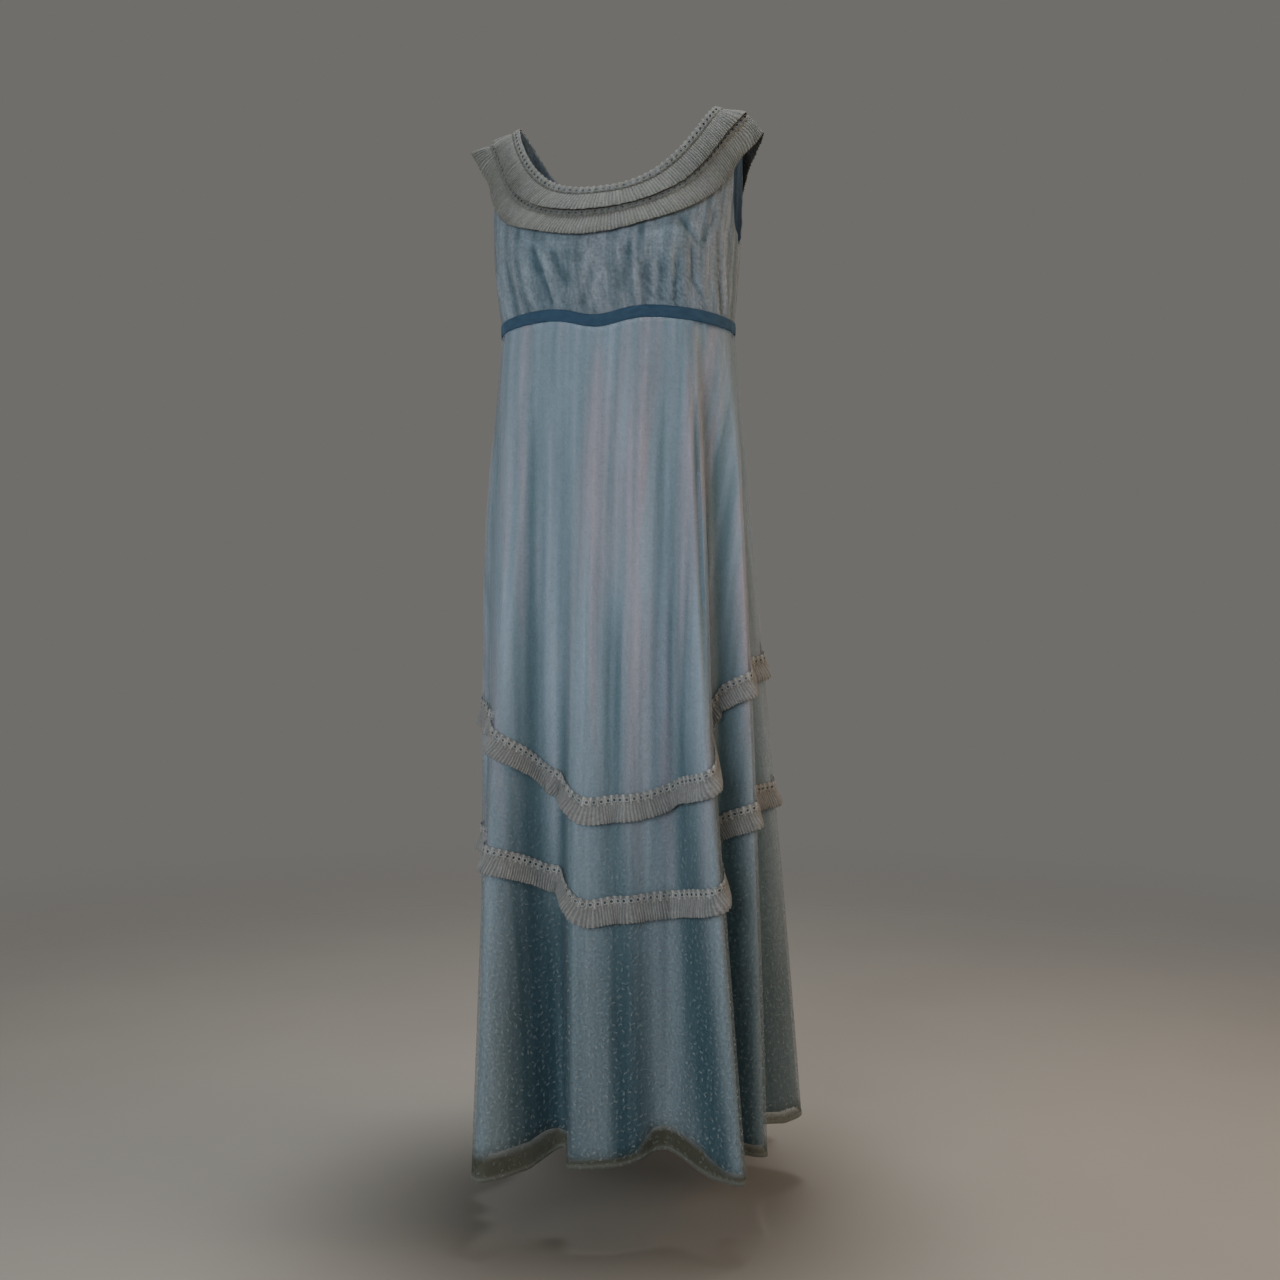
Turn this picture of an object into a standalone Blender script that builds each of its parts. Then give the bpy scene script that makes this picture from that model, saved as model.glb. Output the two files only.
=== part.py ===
"""Ruffled evening dress: sleeveless, full length, empire line, filled out as if worn.

Metres, +Z up, the dress's front facing -Y and its own left-hand side at +X. The origin is where the
shoulders hold the dress up: midway between the two shoulder seams, at their height.

Every cloth piece is a thin wall on one body form. The form is a stack of flattened ovals, given by the
section tables. A point on it has an angle round the body, 0 at the centre front, +90 at the +X side and
180 at the centre back, and a height. Folds push the skirt's points in and out of that form.
"""
import math
from collections import namedtuple

import bmesh
import bpy
import numpy as np
from mathutils import Matrix, Vector

COLLECTION = "ruffled_dress"

# Cloth walls and the gaps between pieces
PANEL_WALL = 0.0012
LINING_WALL = 0.0010
TRIM_WALL = 0.0010
RIBBON_WALL = 0.0012
RIBBON_OUT = 0.0010
SEAM_GAP = 0.0003
SEAM_SLACK = 0.00006
SIDE_SLACK = 0.00055
LAY_GAP = 0.0006
LINING_GAP = 0.0028

# Main heights, measured down from the shoulder seams
RIBBON_Z = -0.289
RIBBON_TALL = 0.0155
RIBBON_SEAM = 0.0005
RIBBON_LIFT = 0.004
RIBBON_DIP = 0.013
DIP_ANGLE = 13.0
RIBBON_FALL = 0.011
RIBBON_TILT = 0.004
LEVEL_FADE = 0.080
HEM_Z = -1.400
FRONT_NECK_Z = -0.121
BACK_NECK_Z = -0.115
UNDERARM_Z = -0.190
ZIP_END_Z = -0.470

# Angles round the body, in degrees
NECK_ANGLE = 45.0
TIP_ANGLE = 70.0
SIDE_ANGLE = 90.0
BACK_ANGLE = 180.0
FLATTEN = 0.03

# How far the satin lining stops above the voile's hem, by the angle round the body
LiningHem = namedtuple("LiningHem", "angle short")
LINING_HEMS = [
    LiningHem(-180, 0.022), LiningHem(-60, 0.022), LiningHem(-40, 0.033), LiningHem(-15, 0.033),
    LiningHem(-7, 0.012), LiningHem(16, 0.010), LiningHem(23, 0.030), LiningHem(37, 0.030),
    LiningHem(42, 0.014), LiningHem(90, 0.014), LiningHem(180, 0.022),
]

# The body form: ovals with a flatter front and back than an ellipse
Section = namedtuple("Section", "height half_width front back")
BODICE_SECTIONS = [
    Section(-0.000, 0.189, 0.000, 0.000),
    Section(-0.020, 0.187, 0.031, 0.031),
    Section(-0.060, 0.183, 0.056, 0.056),
    Section(-0.120, 0.177, 0.083, 0.080),
    Section(-0.160, 0.174, 0.103, 0.093),
    Section(-0.210, 0.170, 0.116, 0.099),
    Section(-0.250, 0.167, 0.106, 0.092),
    Section(RIBBON_Z, 0.163, 0.085, 0.075),
]
SKIRT_SECTIONS = [
    Section(RIBBON_Z, 0.163, 0.085, 0.075),
    Section(-0.400, 0.172, 0.099, 0.094),
    Section(-0.550, 0.182, 0.112, 0.126),
    Section(-0.700, 0.191, 0.124, 0.162),
    Section(-0.850, 0.199, 0.134, 0.200),
    Section(-1.000, 0.206, 0.143, 0.238),
    Section(-1.150, 0.212, 0.150, 0.275),
    Section(-1.300, 0.217, 0.155, 0.310),
    Section(-1.430, 0.221, 0.158, 0.335),
]

# The skirt's ridges (depth outward, +) and valleys (-), in order round the body. Each starts at a share
# of the skirt's length and grows towards its depth at the hem; a lean tips its lower part sideways.
Fold = namedtuple("Fold", "name ribbon_angle hem_angle depth start power lean")
FOLDS = [
    Fold("back left valley", -166, -166, -0.036, 0.10, 1.0, 0.000),
    Fold("back left ridge", -150, -149, 0.034, 0.05, 1.0, 0.000),
    Fold("left back valley", -134, -132, -0.040, 0.08, 1.0, 0.000),
    Fold("left back ridge", -117, -115, -0.004, 0.10, 1.0, 0.000),
    Fold("left valley", -101, -99, -0.048, 0.25, 1.0, 0.000),
    Fold("left side ridge", -84, -82, -0.030, 0.32, 1.0, 0.000),
    Fold("left front valley", -68, -66, -0.052, 0.25, 1.0, 0.000),
    Fold("left minor ridge", -56, -53, -0.030, 0.20, 1.0, 0.000),
    Fold("left panel valley", -47, -43, -0.040, 0.22, 1.0, 0.000),
    Fold("left lobe", -34, -25, 0.060, 0.06, 1.0, -0.003),
    Fold("left crease", -19, -10, -0.047, 0.16, 1.0, 0.000),
    Fold("centre left ridge", -9, -5, -0.014, 0.10, 1.0, 0.000),
    Fold("centre right ridge", 14, 10, -0.024, 0.10, 1.0, 0.000),
    Fold("right panel valley", 33, 27, -0.064, 0.12, 1.0, 0.000),
    Fold("right lobe", 45, 47, 0.024, 0.00, 1.0, 0.026),
    Fold("right pleat", 54, 62, -0.058, 0.00, 0.6, 0.000),
    Fold("right side ridge", 80, 83, -0.008, 0.00, 1.0, 0.000),
    Fold("right valley", 101, 100, -0.028, 0.15, 1.0, 0.000),
    Fold("right back ridge", 118, 116, 0.024, 0.08, 1.0, 0.000),
    Fold("back right valley", 134, 132, -0.040, 0.08, 1.0, 0.000),
    Fold("back right ridge", 150, 149, 0.034, 0.05, 1.0, 0.000),
    Fold("centre back right valley", 166, 166, -0.036, 0.10, 1.0, 0.000),
    Fold("centre back ridge", 180, 180, 0.020, 0.12, 1.0, 0.000),
]
LEAN_START = 0.50
HEM_RISE = 0.35

# Under the bust the cloth is taken in, so the cups stand out over the ribbon
CUP_ANGLE = 29.0
CUP_SPREAD = 17.0
CUP_Z = -0.212
CUP_TALL = 0.040
CUP_OUT = 0.009

# The shoulders slope down outside the neck edge
SLOPE_FROM = 0.134
SLOPE = 0.36
SLOPE_FADE = 0.12

# Centre-back opening for the zip: its edges stand apart, wider at the slider
ZIP_HALF_GAP = 0.0015
SLIDER_HALF_GAP = 0.0055
SLIDER_NOTCH_Z = -0.150
NOTCH_TAPER = 0.012
ZIP_PULL_IN = 0.050

# Columns and rows of the panels
FRONT_COLUMNS = 50
BACK_COLUMNS = 25
UPPER_ROWS = 4
LOWER_ROWS = 3
QUARTER_COLUMNS = 20
ARMHOLE_COLUMNS = 8
SIDE_SEAM_COLUMNS = 4
FOOT_COLUMNS = QUARTER_COLUMNS - ARMHOLE_COLUMNS - SIDE_SEAM_COLUMNS
BODICE_ROWS = 7
NECK_POWER = 2.5
EVEN_SCALE = 333.0
EVEN_ROUNDS = 400
RIBBON_COLUMNS = 84
COLUMN_MEASURE_Z = -1.02

# Lace-headed pleated trim
TRIM_TALL = 0.0345
CLIMB_MOST = 1.2
RUFFLE_WAVE = 0.0022
TrimRow = namedtuple("TrimRow", "down out ripple")
TRIM_ROWS = [
    TrimRow(0.00, 0.0006, 0.00), TrimRow(0.31, 0.0010, 0.00),
    TrimRow(0.62, 0.0040, 0.60), TrimRow(1.00, 0.0056, 1.00),
]
Band = namedtuple("Band", "name first_row")
SKIRT_BANDS = [Band("skirt_trim_upper", UPPER_ROWS), Band("skirt_trim_lower", UPPER_ROWS + 2)]
Swoop = namedtuple("Swoop", "share top")
UPPER_SWOOP = [
    Swoop(-1.00, -0.652), Swoop(-0.80, -0.676), Swoop(-0.62, -0.728), Swoop(-0.50, -0.772),
    Swoop(-0.40, -0.802), Swoop(-0.30, -0.816), Swoop(-0.23, -0.828), Swoop(-0.17, -0.852),
    Swoop(-0.13, -0.868), Swoop(-0.085, -0.883), Swoop(-0.045, -0.897), Swoop(-0.020, -0.914),
    Swoop(0.05, -0.917), Swoop(0.11, -0.911), Swoop(0.17, -0.896), Swoop(0.25, -0.876),
    Swoop(0.30, -0.836), Swoop(0.35, -0.786), Swoop(0.39, -0.767), Swoop(0.45, -0.748),
    Swoop(0.58, -0.737), Swoop(0.70, -0.696), Swoop(0.84, -0.664), Swoop(1.00, -0.652),
]
LOWER_SWOOP = [
    Swoop(-1.00, -0.884), Swoop(-0.80, -0.904), Swoop(-0.62, -0.944), Swoop(-0.50, -0.966),
    Swoop(-0.40, -0.976), Swoop(-0.30, -0.980), Swoop(-0.20, -0.984), Swoop(-0.15, -0.995),
    Swoop(-0.10, -1.009), Swoop(-0.045, -1.021), Swoop(-0.020, -1.043), Swoop(0.05, -1.046),
    Swoop(0.11, -1.042), Swoop(0.18, -1.038), Swoop(0.25, -1.022), Swoop(0.30, -0.985),
    Swoop(0.35, -0.951), Swoop(0.39, -0.938), Swoop(0.45, -0.924), Swoop(0.58, -0.915),
    Swoop(0.70, -0.900), Swoop(0.84, -0.888), Swoop(1.00, -0.884),
]
NeckRow = namedtuple("NeckRow", "name start edge")
NECK_ROWS = [NeckRow("neck_trim_upper", 0.000, 0.042), NeckRow("neck_trim_lower", 0.038, 0.080)]
OVERHANG_DROOP = 0.75
DROOP_OVER = 0.030
TIP_COLUMNS = 6.0
LEFT_TIP_DROOP = 0.05
RIGHT_TIP_DROOP = 0.95

# Zip: tape and chain are strips down the centre back, so far inward of the cloth's outer face
TAPE_HALF = 0.011
TAPE_WALL = 0.0006
TAPE_IN = 0.0021
CHAIN_HALF = 0.0011
CHAIN_WALL = 0.0013
CHAIN_IN = 0.0017
CHAIN_SHORT = 0.012
SLIDER_Z = -0.1245
SLIDER_WIDE = 0.0074
SLIDER_DEEP = 0.0030
SLIDER_LONG = 0.0105
SLIDER_ROUND = 0.0006
SLIDER_IN = 0.0017
BRIDGE_WIDE = 0.0014
BRIDGE_WALL = 0.0009
BRIDGE_HALF = 0.0032
BRIDGE_TOP = 0.0055
BRIDGE_FOOT = 0.0026
BRIDGE_CORNER = 0.0007
HINGE_OUT = 0.00385
TAB_WIDE = 0.0046
TAB_LONG = 0.0200
TAB_THICK = 0.0009
TAB_ROUND = 0.0009
TAB_EYE_WIDE = 0.0024
TAB_EYE_LONG = 0.0046
TAB_BAR = 0.0011

# Colours, roughness and metallic of the finishes
Finish = namedtuple("Finish", "name color roughness metallic")
VOILE = Finish("voile", (0.30, 0.42, 0.52), 0.60, 0.0)
SATIN = Finish("satin", (0.24, 0.38, 0.50), 0.35, 0.0)
VELVET = Finish("velvet", (0.02, 0.07, 0.15), 0.85, 0.0)
LACE = Finish("lace", (0.62, 0.62, 0.58), 0.85, 0.0)
TAPE = Finish("tape", (0.26, 0.38, 0.48), 0.80, 0.0)
NICKEL = Finish("nickel", (0.60, 0.60, 0.60), 0.30, 1.0)


def curve_through(x, xs, ys):
    """A smooth curve through the points xs, ys, read at x: one cubic between each two points, whose
    slopes at its ends are those that the neighbouring points give."""
    xs = np.asarray(xs, float)
    ys = np.asarray(ys, float)
    slopes = np.gradient(ys, xs)
    left = np.clip(np.searchsorted(xs, x, side="right") - 1, 0, len(xs) - 2)
    span = xs[left + 1] - xs[left]
    t = (x - xs[left]) / span
    start = ys[left] * (1 + 2 * t) * (1 - t) ** 2 + slopes[left] * span * t * (1 - t) ** 2
    end = ys[left + 1] * t * t * (3 - 2 * t) + slopes[left + 1] * span * t * t * (t - 1)
    return start + end


def oval(angle, height, sections):
    """x and y of the body form. The tables are read against the square root of the depth below the
    shoulders, which rounds the form over the shoulder seams."""
    depth = np.sqrt(np.clip(-np.asarray(height, float), 0.0, None))
    keys = [math.sqrt(-row.height) for row in sections]
    half_width = curve_through(depth, keys, [row.half_width for row in sections])
    front = curve_through(depth, keys, [row.front for row in sections])
    back = curve_through(depth, keys, [row.back for row in sections])
    turn = np.radians(angle)
    across = (1 + FLATTEN) * np.sin(turn) + FLATTEN * np.sin(3 * turn)
    ahead = (1 + FLATTEN) * np.cos(turn) - FLATTEN * np.cos(3 * turn)
    return half_width * across, np.where(ahead > 0, -front * ahead, -back * ahead)


def ribbon_height(angle):
    """The empire seam rises a little over the cups, and falls at the centre front, the sides and to +X."""
    turn = np.radians(angle)
    return (RIBBON_Z + RIBBON_LIFT - RIBBON_DIP * np.exp(-(angle / DIP_ANGLE) ** 2)
            - RIBBON_FALL * np.sin(turn) ** 2 - RIBBON_TILT * np.sin(turn))


def levelled(angle, height):
    """The height that a point would have if the empire seam were level. The seam's rise and fall fade
    out within LEVEL_FADE above and below it."""
    near = np.clip(1 - np.abs(height - RIBBON_Z) / LEVEL_FADE, 0.0, 1.0)
    return height - (ribbon_height(angle) - RIBBON_Z) * near


def seam_height(angle):
    """The empire seam as the bodice's foot has it: straight between the foot's columns, so that the
    skirt's top, which has more columns, meets it without crossing."""
    corners = np.linspace(-BACK_ANGLE, BACK_ANGLE, 4 * FOOT_COLUMNS + 1)
    return np.interp(angle, corners, ribbon_height(corners))


def growth(fold, share):
    """How much of a fold's hem depth it has at a share of the skirt's length."""
    reach = np.clip((share - fold.start) / (1.0 - fold.start), 0.0, None)
    return reach ** fold.power


def fold_shift(angle, share):
    """Outward shift and sideways lean that the folds give. Between two neighbouring folds both go
    from one to the other along half a cosine wave, so each fold is a round crest."""
    before = FOLDS[-1]._replace(ribbon_angle=FOLDS[-1].ribbon_angle - 360.0,
                                hem_angle=FOLDS[-1].hem_angle - 360.0)
    after = FOLDS[0]._replace(ribbon_angle=FOLDS[0].ribbon_angle + 360.0,
                              hem_angle=FOLDS[0].hem_angle + 360.0)
    row = [before] + FOLDS + [after]
    outward = np.zeros(np.broadcast(angle, share).shape)
    lean = np.zeros_like(outward)
    leaning = np.clip((share - LEAN_START) / (1.0 - LEAN_START), 0.0, None)
    for low, high in zip(row, row[1:]):
        low_at = low.ribbon_angle + (low.hem_angle - low.ribbon_angle) * share
        high_at = high.ribbon_angle + (high.hem_angle - high.ribbon_angle) * share
        between = (angle - low_at) / (high_at - low_at)
        inside = (between >= 0.0) & (between < 1.0)
        mix = 0.5 - 0.5 * np.cos(np.pi * between)
        low_grown = growth(low, share)
        high_grown = growth(high, share)
        depth = low.depth * low_grown * (1 - mix) + high.depth * high_grown * mix
        sideways = (low.lean * (1 - mix) + high.lean * mix) * leaning
        outward = np.where(inside, depth, outward)
        lean = np.where(inside, sideways, lean)
    return outward, lean


def skirt_point(angle, height):
    """A point of the folded skirt: the oval's point, shifted along the oval's plan normal by the
    folds' depth and along its tangent by their lean."""
    level = levelled(angle, height)
    share = np.clip((RIBBON_Z - level) / (RIBBON_Z - HEM_Z), 0.0, None)
    x, y = oval(angle, level, SKIRT_SECTIONS)
    x_next, y_next = oval(angle + 0.5, level, SKIRT_SECTIONS)
    x_last, y_last = oval(angle - 0.5, level, SKIRT_SECTIONS)
    length = np.hypot(x_next - x_last, y_next - y_last)
    along_x = (x_next - x_last) / length
    along_y = (y_next - y_last) / length
    outward, lean = fold_shift(angle, share)
    return np.stack([x + along_y * outward + along_x * lean,
                     y - along_x * outward + along_y * lean,
                     np.broadcast_to(height, x.shape)], axis=-1)


def hem_height(angle):
    """The hem hangs level at the ridges and is drawn up a little in the valleys."""
    outward, _ = fold_shift(angle, np.ones_like(angle))
    return HEM_Z + HEM_RISE * np.clip(-outward, 0.0, None)


def bodice_point(angle, height):
    """A point of the bodice: the oval's point, out over the cups, down along the sloping shoulders."""
    level = levelled(angle, height)
    x, y = oval(angle, level, BODICE_SECTIONS)
    cup = np.exp(-((np.abs(angle) - CUP_ANGLE) / CUP_SPREAD) ** 2 - ((level - CUP_Z) / CUP_TALL) ** 2)
    drop = SLOPE * np.clip(np.abs(x) - SLOPE_FROM, 0.0, None) * np.clip(1 + height / SLOPE_FADE, 0.0, 1.0)
    return np.stack([x, y - CUP_OUT * cup, height - drop], axis=-1)


def part_for_zip(points, side):
    """Centre-back edges stood apart for the zip: points within ZIP_PULL_IN of the centre back are drawn
    together sideways, so that the edge stands at the half gap for its height. Below the zip it's shut."""
    x = points[..., 0]
    height = points[..., 2]
    notch = np.clip((height - SLIDER_NOTCH_Z) / NOTCH_TAPER, 0.0, 1.0)
    shut = np.clip((ZIP_END_Z - height) / NOTCH_TAPER, 0.0, 1.0)
    gap = (ZIP_HALF_GAP + (SLIDER_HALF_GAP - ZIP_HALF_GAP) * notch) * (1 - shut)
    near = (points[..., 1] > 0) & (np.abs(x) < ZIP_PULL_IN)
    result = points.copy()
    result[..., 0] = np.where(near, side * (gap + np.abs(x) * (1 - gap / ZIP_PULL_IN)), x)
    return result


def surface_normals(points, closed=False):
    """Outward normals of a grid whose rows run down and whose columns run from -X round the front."""
    if closed:
        across = np.roll(points, -1, axis=1) - np.roll(points, 1, axis=1)
    else:
        across = np.gradient(points, axis=1)
    down = np.gradient(points, axis=0)
    normal = np.cross(down, across)
    return normal / np.linalg.norm(normal, axis=-1, keepdims=True)


def evenly_along(curve, count):
    """count + 1 places from 0 to 1 at equal lengths along a finely sampled curve."""
    steps = np.linalg.norm(np.diff(curve, axis=0), axis=1)
    length = np.concatenate([[0.0], np.cumsum(steps)])
    return np.interp(np.linspace(0.0, length[-1], count + 1), length, np.linspace(0.0, 1.0, len(curve)))


def skirt_columns():
    """Column angles from the centre back at -180, round the front, to +180, at equal lengths of cloth
    within each panel, and each column's share of the cloth from the centre front."""
    angles = []
    for start, end, count in ((-BACK_ANGLE, -SIDE_ANGLE, BACK_COLUMNS),
                              (-SIDE_ANGLE, SIDE_ANGLE, FRONT_COLUMNS),
                              (SIDE_ANGLE, BACK_ANGLE, BACK_COLUMNS)):
        fine = np.linspace(start, end, 2000)
        curve = skirt_point(fine, np.full_like(fine, COLUMN_MEASURE_Z))
        angles.append(start + (end - start) * evenly_along(curve, count)[:-1])
    angles = np.concatenate(angles + [[BACK_ANGLE]])
    curve = skirt_point(angles, np.full_like(angles, COLUMN_MEASURE_Z))
    length = np.concatenate([[0.0], np.cumsum(np.linalg.norm(np.diff(curve, axis=0), axis=1))])
    middle = np.interp(0.0, angles, length)
    share = np.where(angles < 0, (length - middle) / middle, (length - middle) / (length[-1] - middle))
    return angles, share


def band_top(swoop, share):
    """A band's upper line, by share of the cloth from the centre front: low in front, high behind."""
    return curve_through(share, [row.share for row in swoop], [row.top for row in swoop])


def tape_depth(angles, top):
    """How far below a band's upper line its lower edge lies. The trim keeps its width square to the line,
    so it takes more height where the line climbs."""
    line = skirt_point(angles, top)
    run = np.hypot(np.gradient(line[:, 0]), np.gradient(line[:, 1]))
    climb = np.clip(np.abs(np.gradient(top) / run), 0.0, CLIMB_MOST)
    return TRIM_TALL * np.sqrt(1 + climb ** 2)


def skirt_heights(angles, share):
    """Row heights of every column: down to the upper band, the two edges of each band, the hem."""
    top = seam_height(angles) - SEAM_GAP / 2
    upper = band_top(UPPER_SWOOP, share)
    lower = band_top(LOWER_SWOOP, share)
    hem = hem_height(angles)
    rows = [top + (upper - top) * k / UPPER_ROWS for k in range(UPPER_ROWS)]
    foot = lower - tape_depth(angles, lower)
    rows += [upper, upper - tape_depth(angles, upper), lower, foot]
    rows += [foot + (hem - foot) * k / LOWER_ROWS for k in range(1, LOWER_ROWS + 1)]
    return np.array(rows)


def grid_faces(rows, columns, closed):
    """Triangles of a grid, two to a cell, all with the same diagonal. Rows run down, so that going
    across and then down turns each face's front outward."""
    cells = columns if closed else columns - 1
    row, col = np.meshgrid(np.arange(rows - 1), np.arange(cells), indexing="ij")
    after = (col + 1) % columns
    a = row * columns + col
    b = row * columns + after
    c = (row + 1) * columns + after
    d = (row + 1) * columns + col
    faces = np.concatenate([np.stack([a, d, c], -1).reshape(-1, 3), np.stack([a, c, b], -1).reshape(-1, 3)])
    return faces.tolist()


def material_for(finish):
    """One Principled material for each finish."""
    material = bpy.data.materials.get(finish.name)
    if material is None:
        material = bpy.data.materials.new(finish.name)
        material.use_nodes = True
        shader = material.node_tree.nodes["Principled BSDF"]
        shader.inputs["Base Color"].default_value = (*finish.color, 1.0)
        shader.inputs["Roughness"].default_value = finish.roughness
        shader.inputs["Metallic"].default_value = finish.metallic
        material.diffuse_color = (*finish.color, 1.0)
    return material


def add_object(name, mesh, finish, collection):
    """A named object in the dress's collection, with its material."""
    mesh.materials.append(material_for(finish))
    thing = bpy.data.objects.new(name, mesh)
    collection.objects.link(thing)
    return thing


def cloth(name, points, wall, side, finish, collection, closed=False):
    """A cloth wall: a grid of points given a thickness, inward of them (-1) or outward (+1)."""
    rows, columns = points.shape[:2]
    mesh = bpy.data.meshes.new(name)
    mesh.from_pydata(points.reshape(-1, 3).tolist(), [], grid_faces(rows, columns, closed))
    mesh.shade_smooth()
    thing = add_object(name, mesh, finish, collection)
    solid = thing.modifiers.new("wall", "SOLIDIFY")
    solid.thickness = wall
    solid.offset = side
    solid.use_quality_normals = True
    return thing


def drawn_back(edge, inner, own, seam_normals, wall, slack):
    """A panel's edge points drawn back from its seam. The seam's normals are those of the whole form, and
    the panel's own ones lean away from them, so its inner face would cross the seam: the lean of the wall
    is added to half the gap."""
    step = inner - edge
    step = step / np.linalg.norm(step, axis=-1, keepdims=True)
    into = step - np.sum(step * seam_normals, axis=-1, keepdims=True) * seam_normals
    into = into / np.linalg.norm(into, axis=-1, keepdims=True)
    lean = wall * np.clip(np.sum(own * into, axis=-1), 0.0, None)
    pull = (SEAM_GAP / 2 + slack + lean) / np.sum(step * into, axis=-1)
    return edge + step * pull[:, None]


def three_panels(name, ring, normals, counts, side_columns, wall, finish, collection):
    """A ring of cloth cut into front, back left and back right. Counts gives how many columns each back and
    the front have. Side columns, if any, are the places along a quarter's last row that are its side seam,
    counted from the shoulder seam."""
    back, front = counts
    left = part_for_zip(ring[:, :back + 1], -1.0)
    middle = ring[:, back:back + front + 1].copy()
    right = part_for_zip(ring[:, back + front:], 1.0)
    for panel, first in ((left, 0), (middle, back), (right, back + front)):
        own = surface_normals(panel)
        last = first + panel.shape[1] - 1
        panel[:, 0] = drawn_back(panel[:, 0], panel[:, 1], own[:, 0], normals[:, first], wall, SEAM_SLACK)
        panel[:, -1] = drawn_back(panel[:, -1], panel[:, -2], own[:, -1], normals[:, last], wall, SEAM_SLACK)
        for column in side_columns:
            for at in {column, panel.shape[1] - 1 - column}:
                if abs(panel[-1, at, 1]) < SEAM_GAP:
                    seam = np.array([[math.copysign(1.0, panel[-1, at, 0]), 0.0, 0.0]])
                    panel[-1, at] = drawn_back(panel[-1, at:at + 1], panel[-2, at:at + 1],
                                               own[-1, at:at + 1], seam, wall, SIDE_SLACK)[0]
    cloth(f"{name}_front", middle, wall, -1, finish, collection)
    cloth(f"{name}_back_left", left, wall, -1, finish, collection)
    cloth(f"{name}_back_right", right, wall, -1, finish, collection)


def ring_normals(points):
    """Normals of a whole ring whose first and last columns are the same centre-back line."""
    normals = surface_normals(points[:, :-1], closed=True)
    return np.concatenate([normals, normals[:, :1]], axis=1)


def build_skirt(collection):
    """Voile skirt, its satin lining and the two swooping bands. Gives back the centre-back line."""
    angles, share = skirt_columns()
    heights = skirt_heights(angles, share)
    points = skirt_point(np.broadcast_to(angles, heights.shape), heights)
    normals = ring_normals(points)
    counts = (BACK_COLUMNS, FRONT_COLUMNS)
    three_panels("skirt", points, normals, counts, [], PANEL_WALL, VOILE, collection)

    lining_heights = np.concatenate([heights[:UPPER_ROWS + 1], heights[UPPER_ROWS + 3:]])
    below = lining_heights[UPPER_ROWS + 1:]
    reach = (below - below[0]) / (below[-1] - below[0])
    short = np.interp(angles, [row.angle for row in LINING_HEMS], [row.short for row in LINING_HEMS])
    lining_heights[UPPER_ROWS + 1:] = below + short * reach
    skin = skirt_point(np.broadcast_to(angles, lining_heights.shape), lining_heights)
    skin_normals = ring_normals(skin)
    inner = skin - skin_normals * (PANEL_WALL + LINING_GAP)
    three_panels("lining", inner, skin_normals, counts, [], LINING_WALL, SATIN, collection)

    wave = RUFFLE_WAVE * np.where(np.arange(points.shape[1] - 1) % 2 == 0, 1.0, -1.0)
    for band in SKIRT_BANDS:
        top = points[band.first_row, :-1]
        bottom = points[band.first_row + 1, :-1]
        normal = normals[band.first_row, :-1]
        rows = []
        for down, out, ripple in TRIM_ROWS:
            place = top * (1 - down) + bottom * down
            rows.append(place + normal * (out + ripple * wave)[:, None])
        cloth(band.name, np.array(rows), TRIM_WALL, 1, LACE, collection, closed=True)
    return points[:, 0]


def armhole(share):
    """The armhole in angle and height, from the shoulder tip (0) to the underarm (1): a cubic curve
    that cuts in towards the neck and then sweeps out under the arm."""
    knots = np.array([(TIP_ANGLE, 0.0), (64.0, -0.070), (75.0, -0.178), (SIDE_ANGLE, UNDERARM_Z)])
    t = np.asarray(share)[:, None]
    return ((1 - t) ** 3 * knots[0] + 3 * t * (1 - t) ** 2 * knots[1]
            + 3 * t * t * (1 - t) * knots[2] + t ** 3 * knots[3])


def bodice_quarter(neck_z, middle, turn):
    """A quarter of the bodice as body points: columns from the shoulder seam (first) to the centre front or
    back (last), rows from the neck edge out to the armhole, the side seam and the ribbon. Middle is the
    centre's angle and turn says which way the quarter goes from it. The inner points are evened out
    between these edges by averaging each with its four neighbours until they settle."""
    count = QUARTER_COLUMNS
    fine = np.linspace(NECK_ANGLE, 0.0, 600)
    edge_curve = bodice_point(middle + turn * fine, neck_z * (1 - (fine / NECK_ANGLE) ** NECK_POWER))
    neck_angle = NECK_ANGLE * (1 - evenly_along(edge_curve, count))
    neck = np.stack([neck_angle, neck_z * (1 - (neck_angle / NECK_ANGLE) ** NECK_POWER)], axis=-1)

    fine_arm = armhole(np.linspace(0.0, 1.0, 600))
    arm_curve = bodice_point(middle + turn * fine_arm[:, 0], fine_arm[:, 1])
    arm = armhole(evenly_along(arm_curve, ARMHOLE_COLUMNS))
    foot_angle = np.linspace(SIDE_ANGLE, 0.0, FOOT_COLUMNS + 1)
    foot = np.stack([foot_angle, ribbon_height(middle + turn * foot_angle) + RIBBON_SEAM], axis=-1)
    side = np.stack([np.full(SIDE_SEAM_COLUMNS + 1, SIDE_ANGLE),
                     np.linspace(UNDERARM_Z, foot[0, 1], SIDE_SEAM_COLUMNS + 1)], axis=-1)
    outer = np.concatenate([arm[:-1], side[:-1], foot])

    even = np.linspace(0.0, 1.0, BODICE_ROWS + 1)[:, None, None]
    grid = (neck * (1 - even) + outer * even) * np.array([1.0, EVEN_SCALE])
    for _ in range(EVEN_ROUNDS):
        grid[1:-1, 1:-1] = (grid[:-2, 1:-1] + grid[2:, 1:-1] + grid[1:-1, :-2] + grid[1:-1, 2:]) / 4
    return bodice_point(middle + turn * grid[..., 0], grid[..., 1] / EVEN_SCALE)


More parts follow.
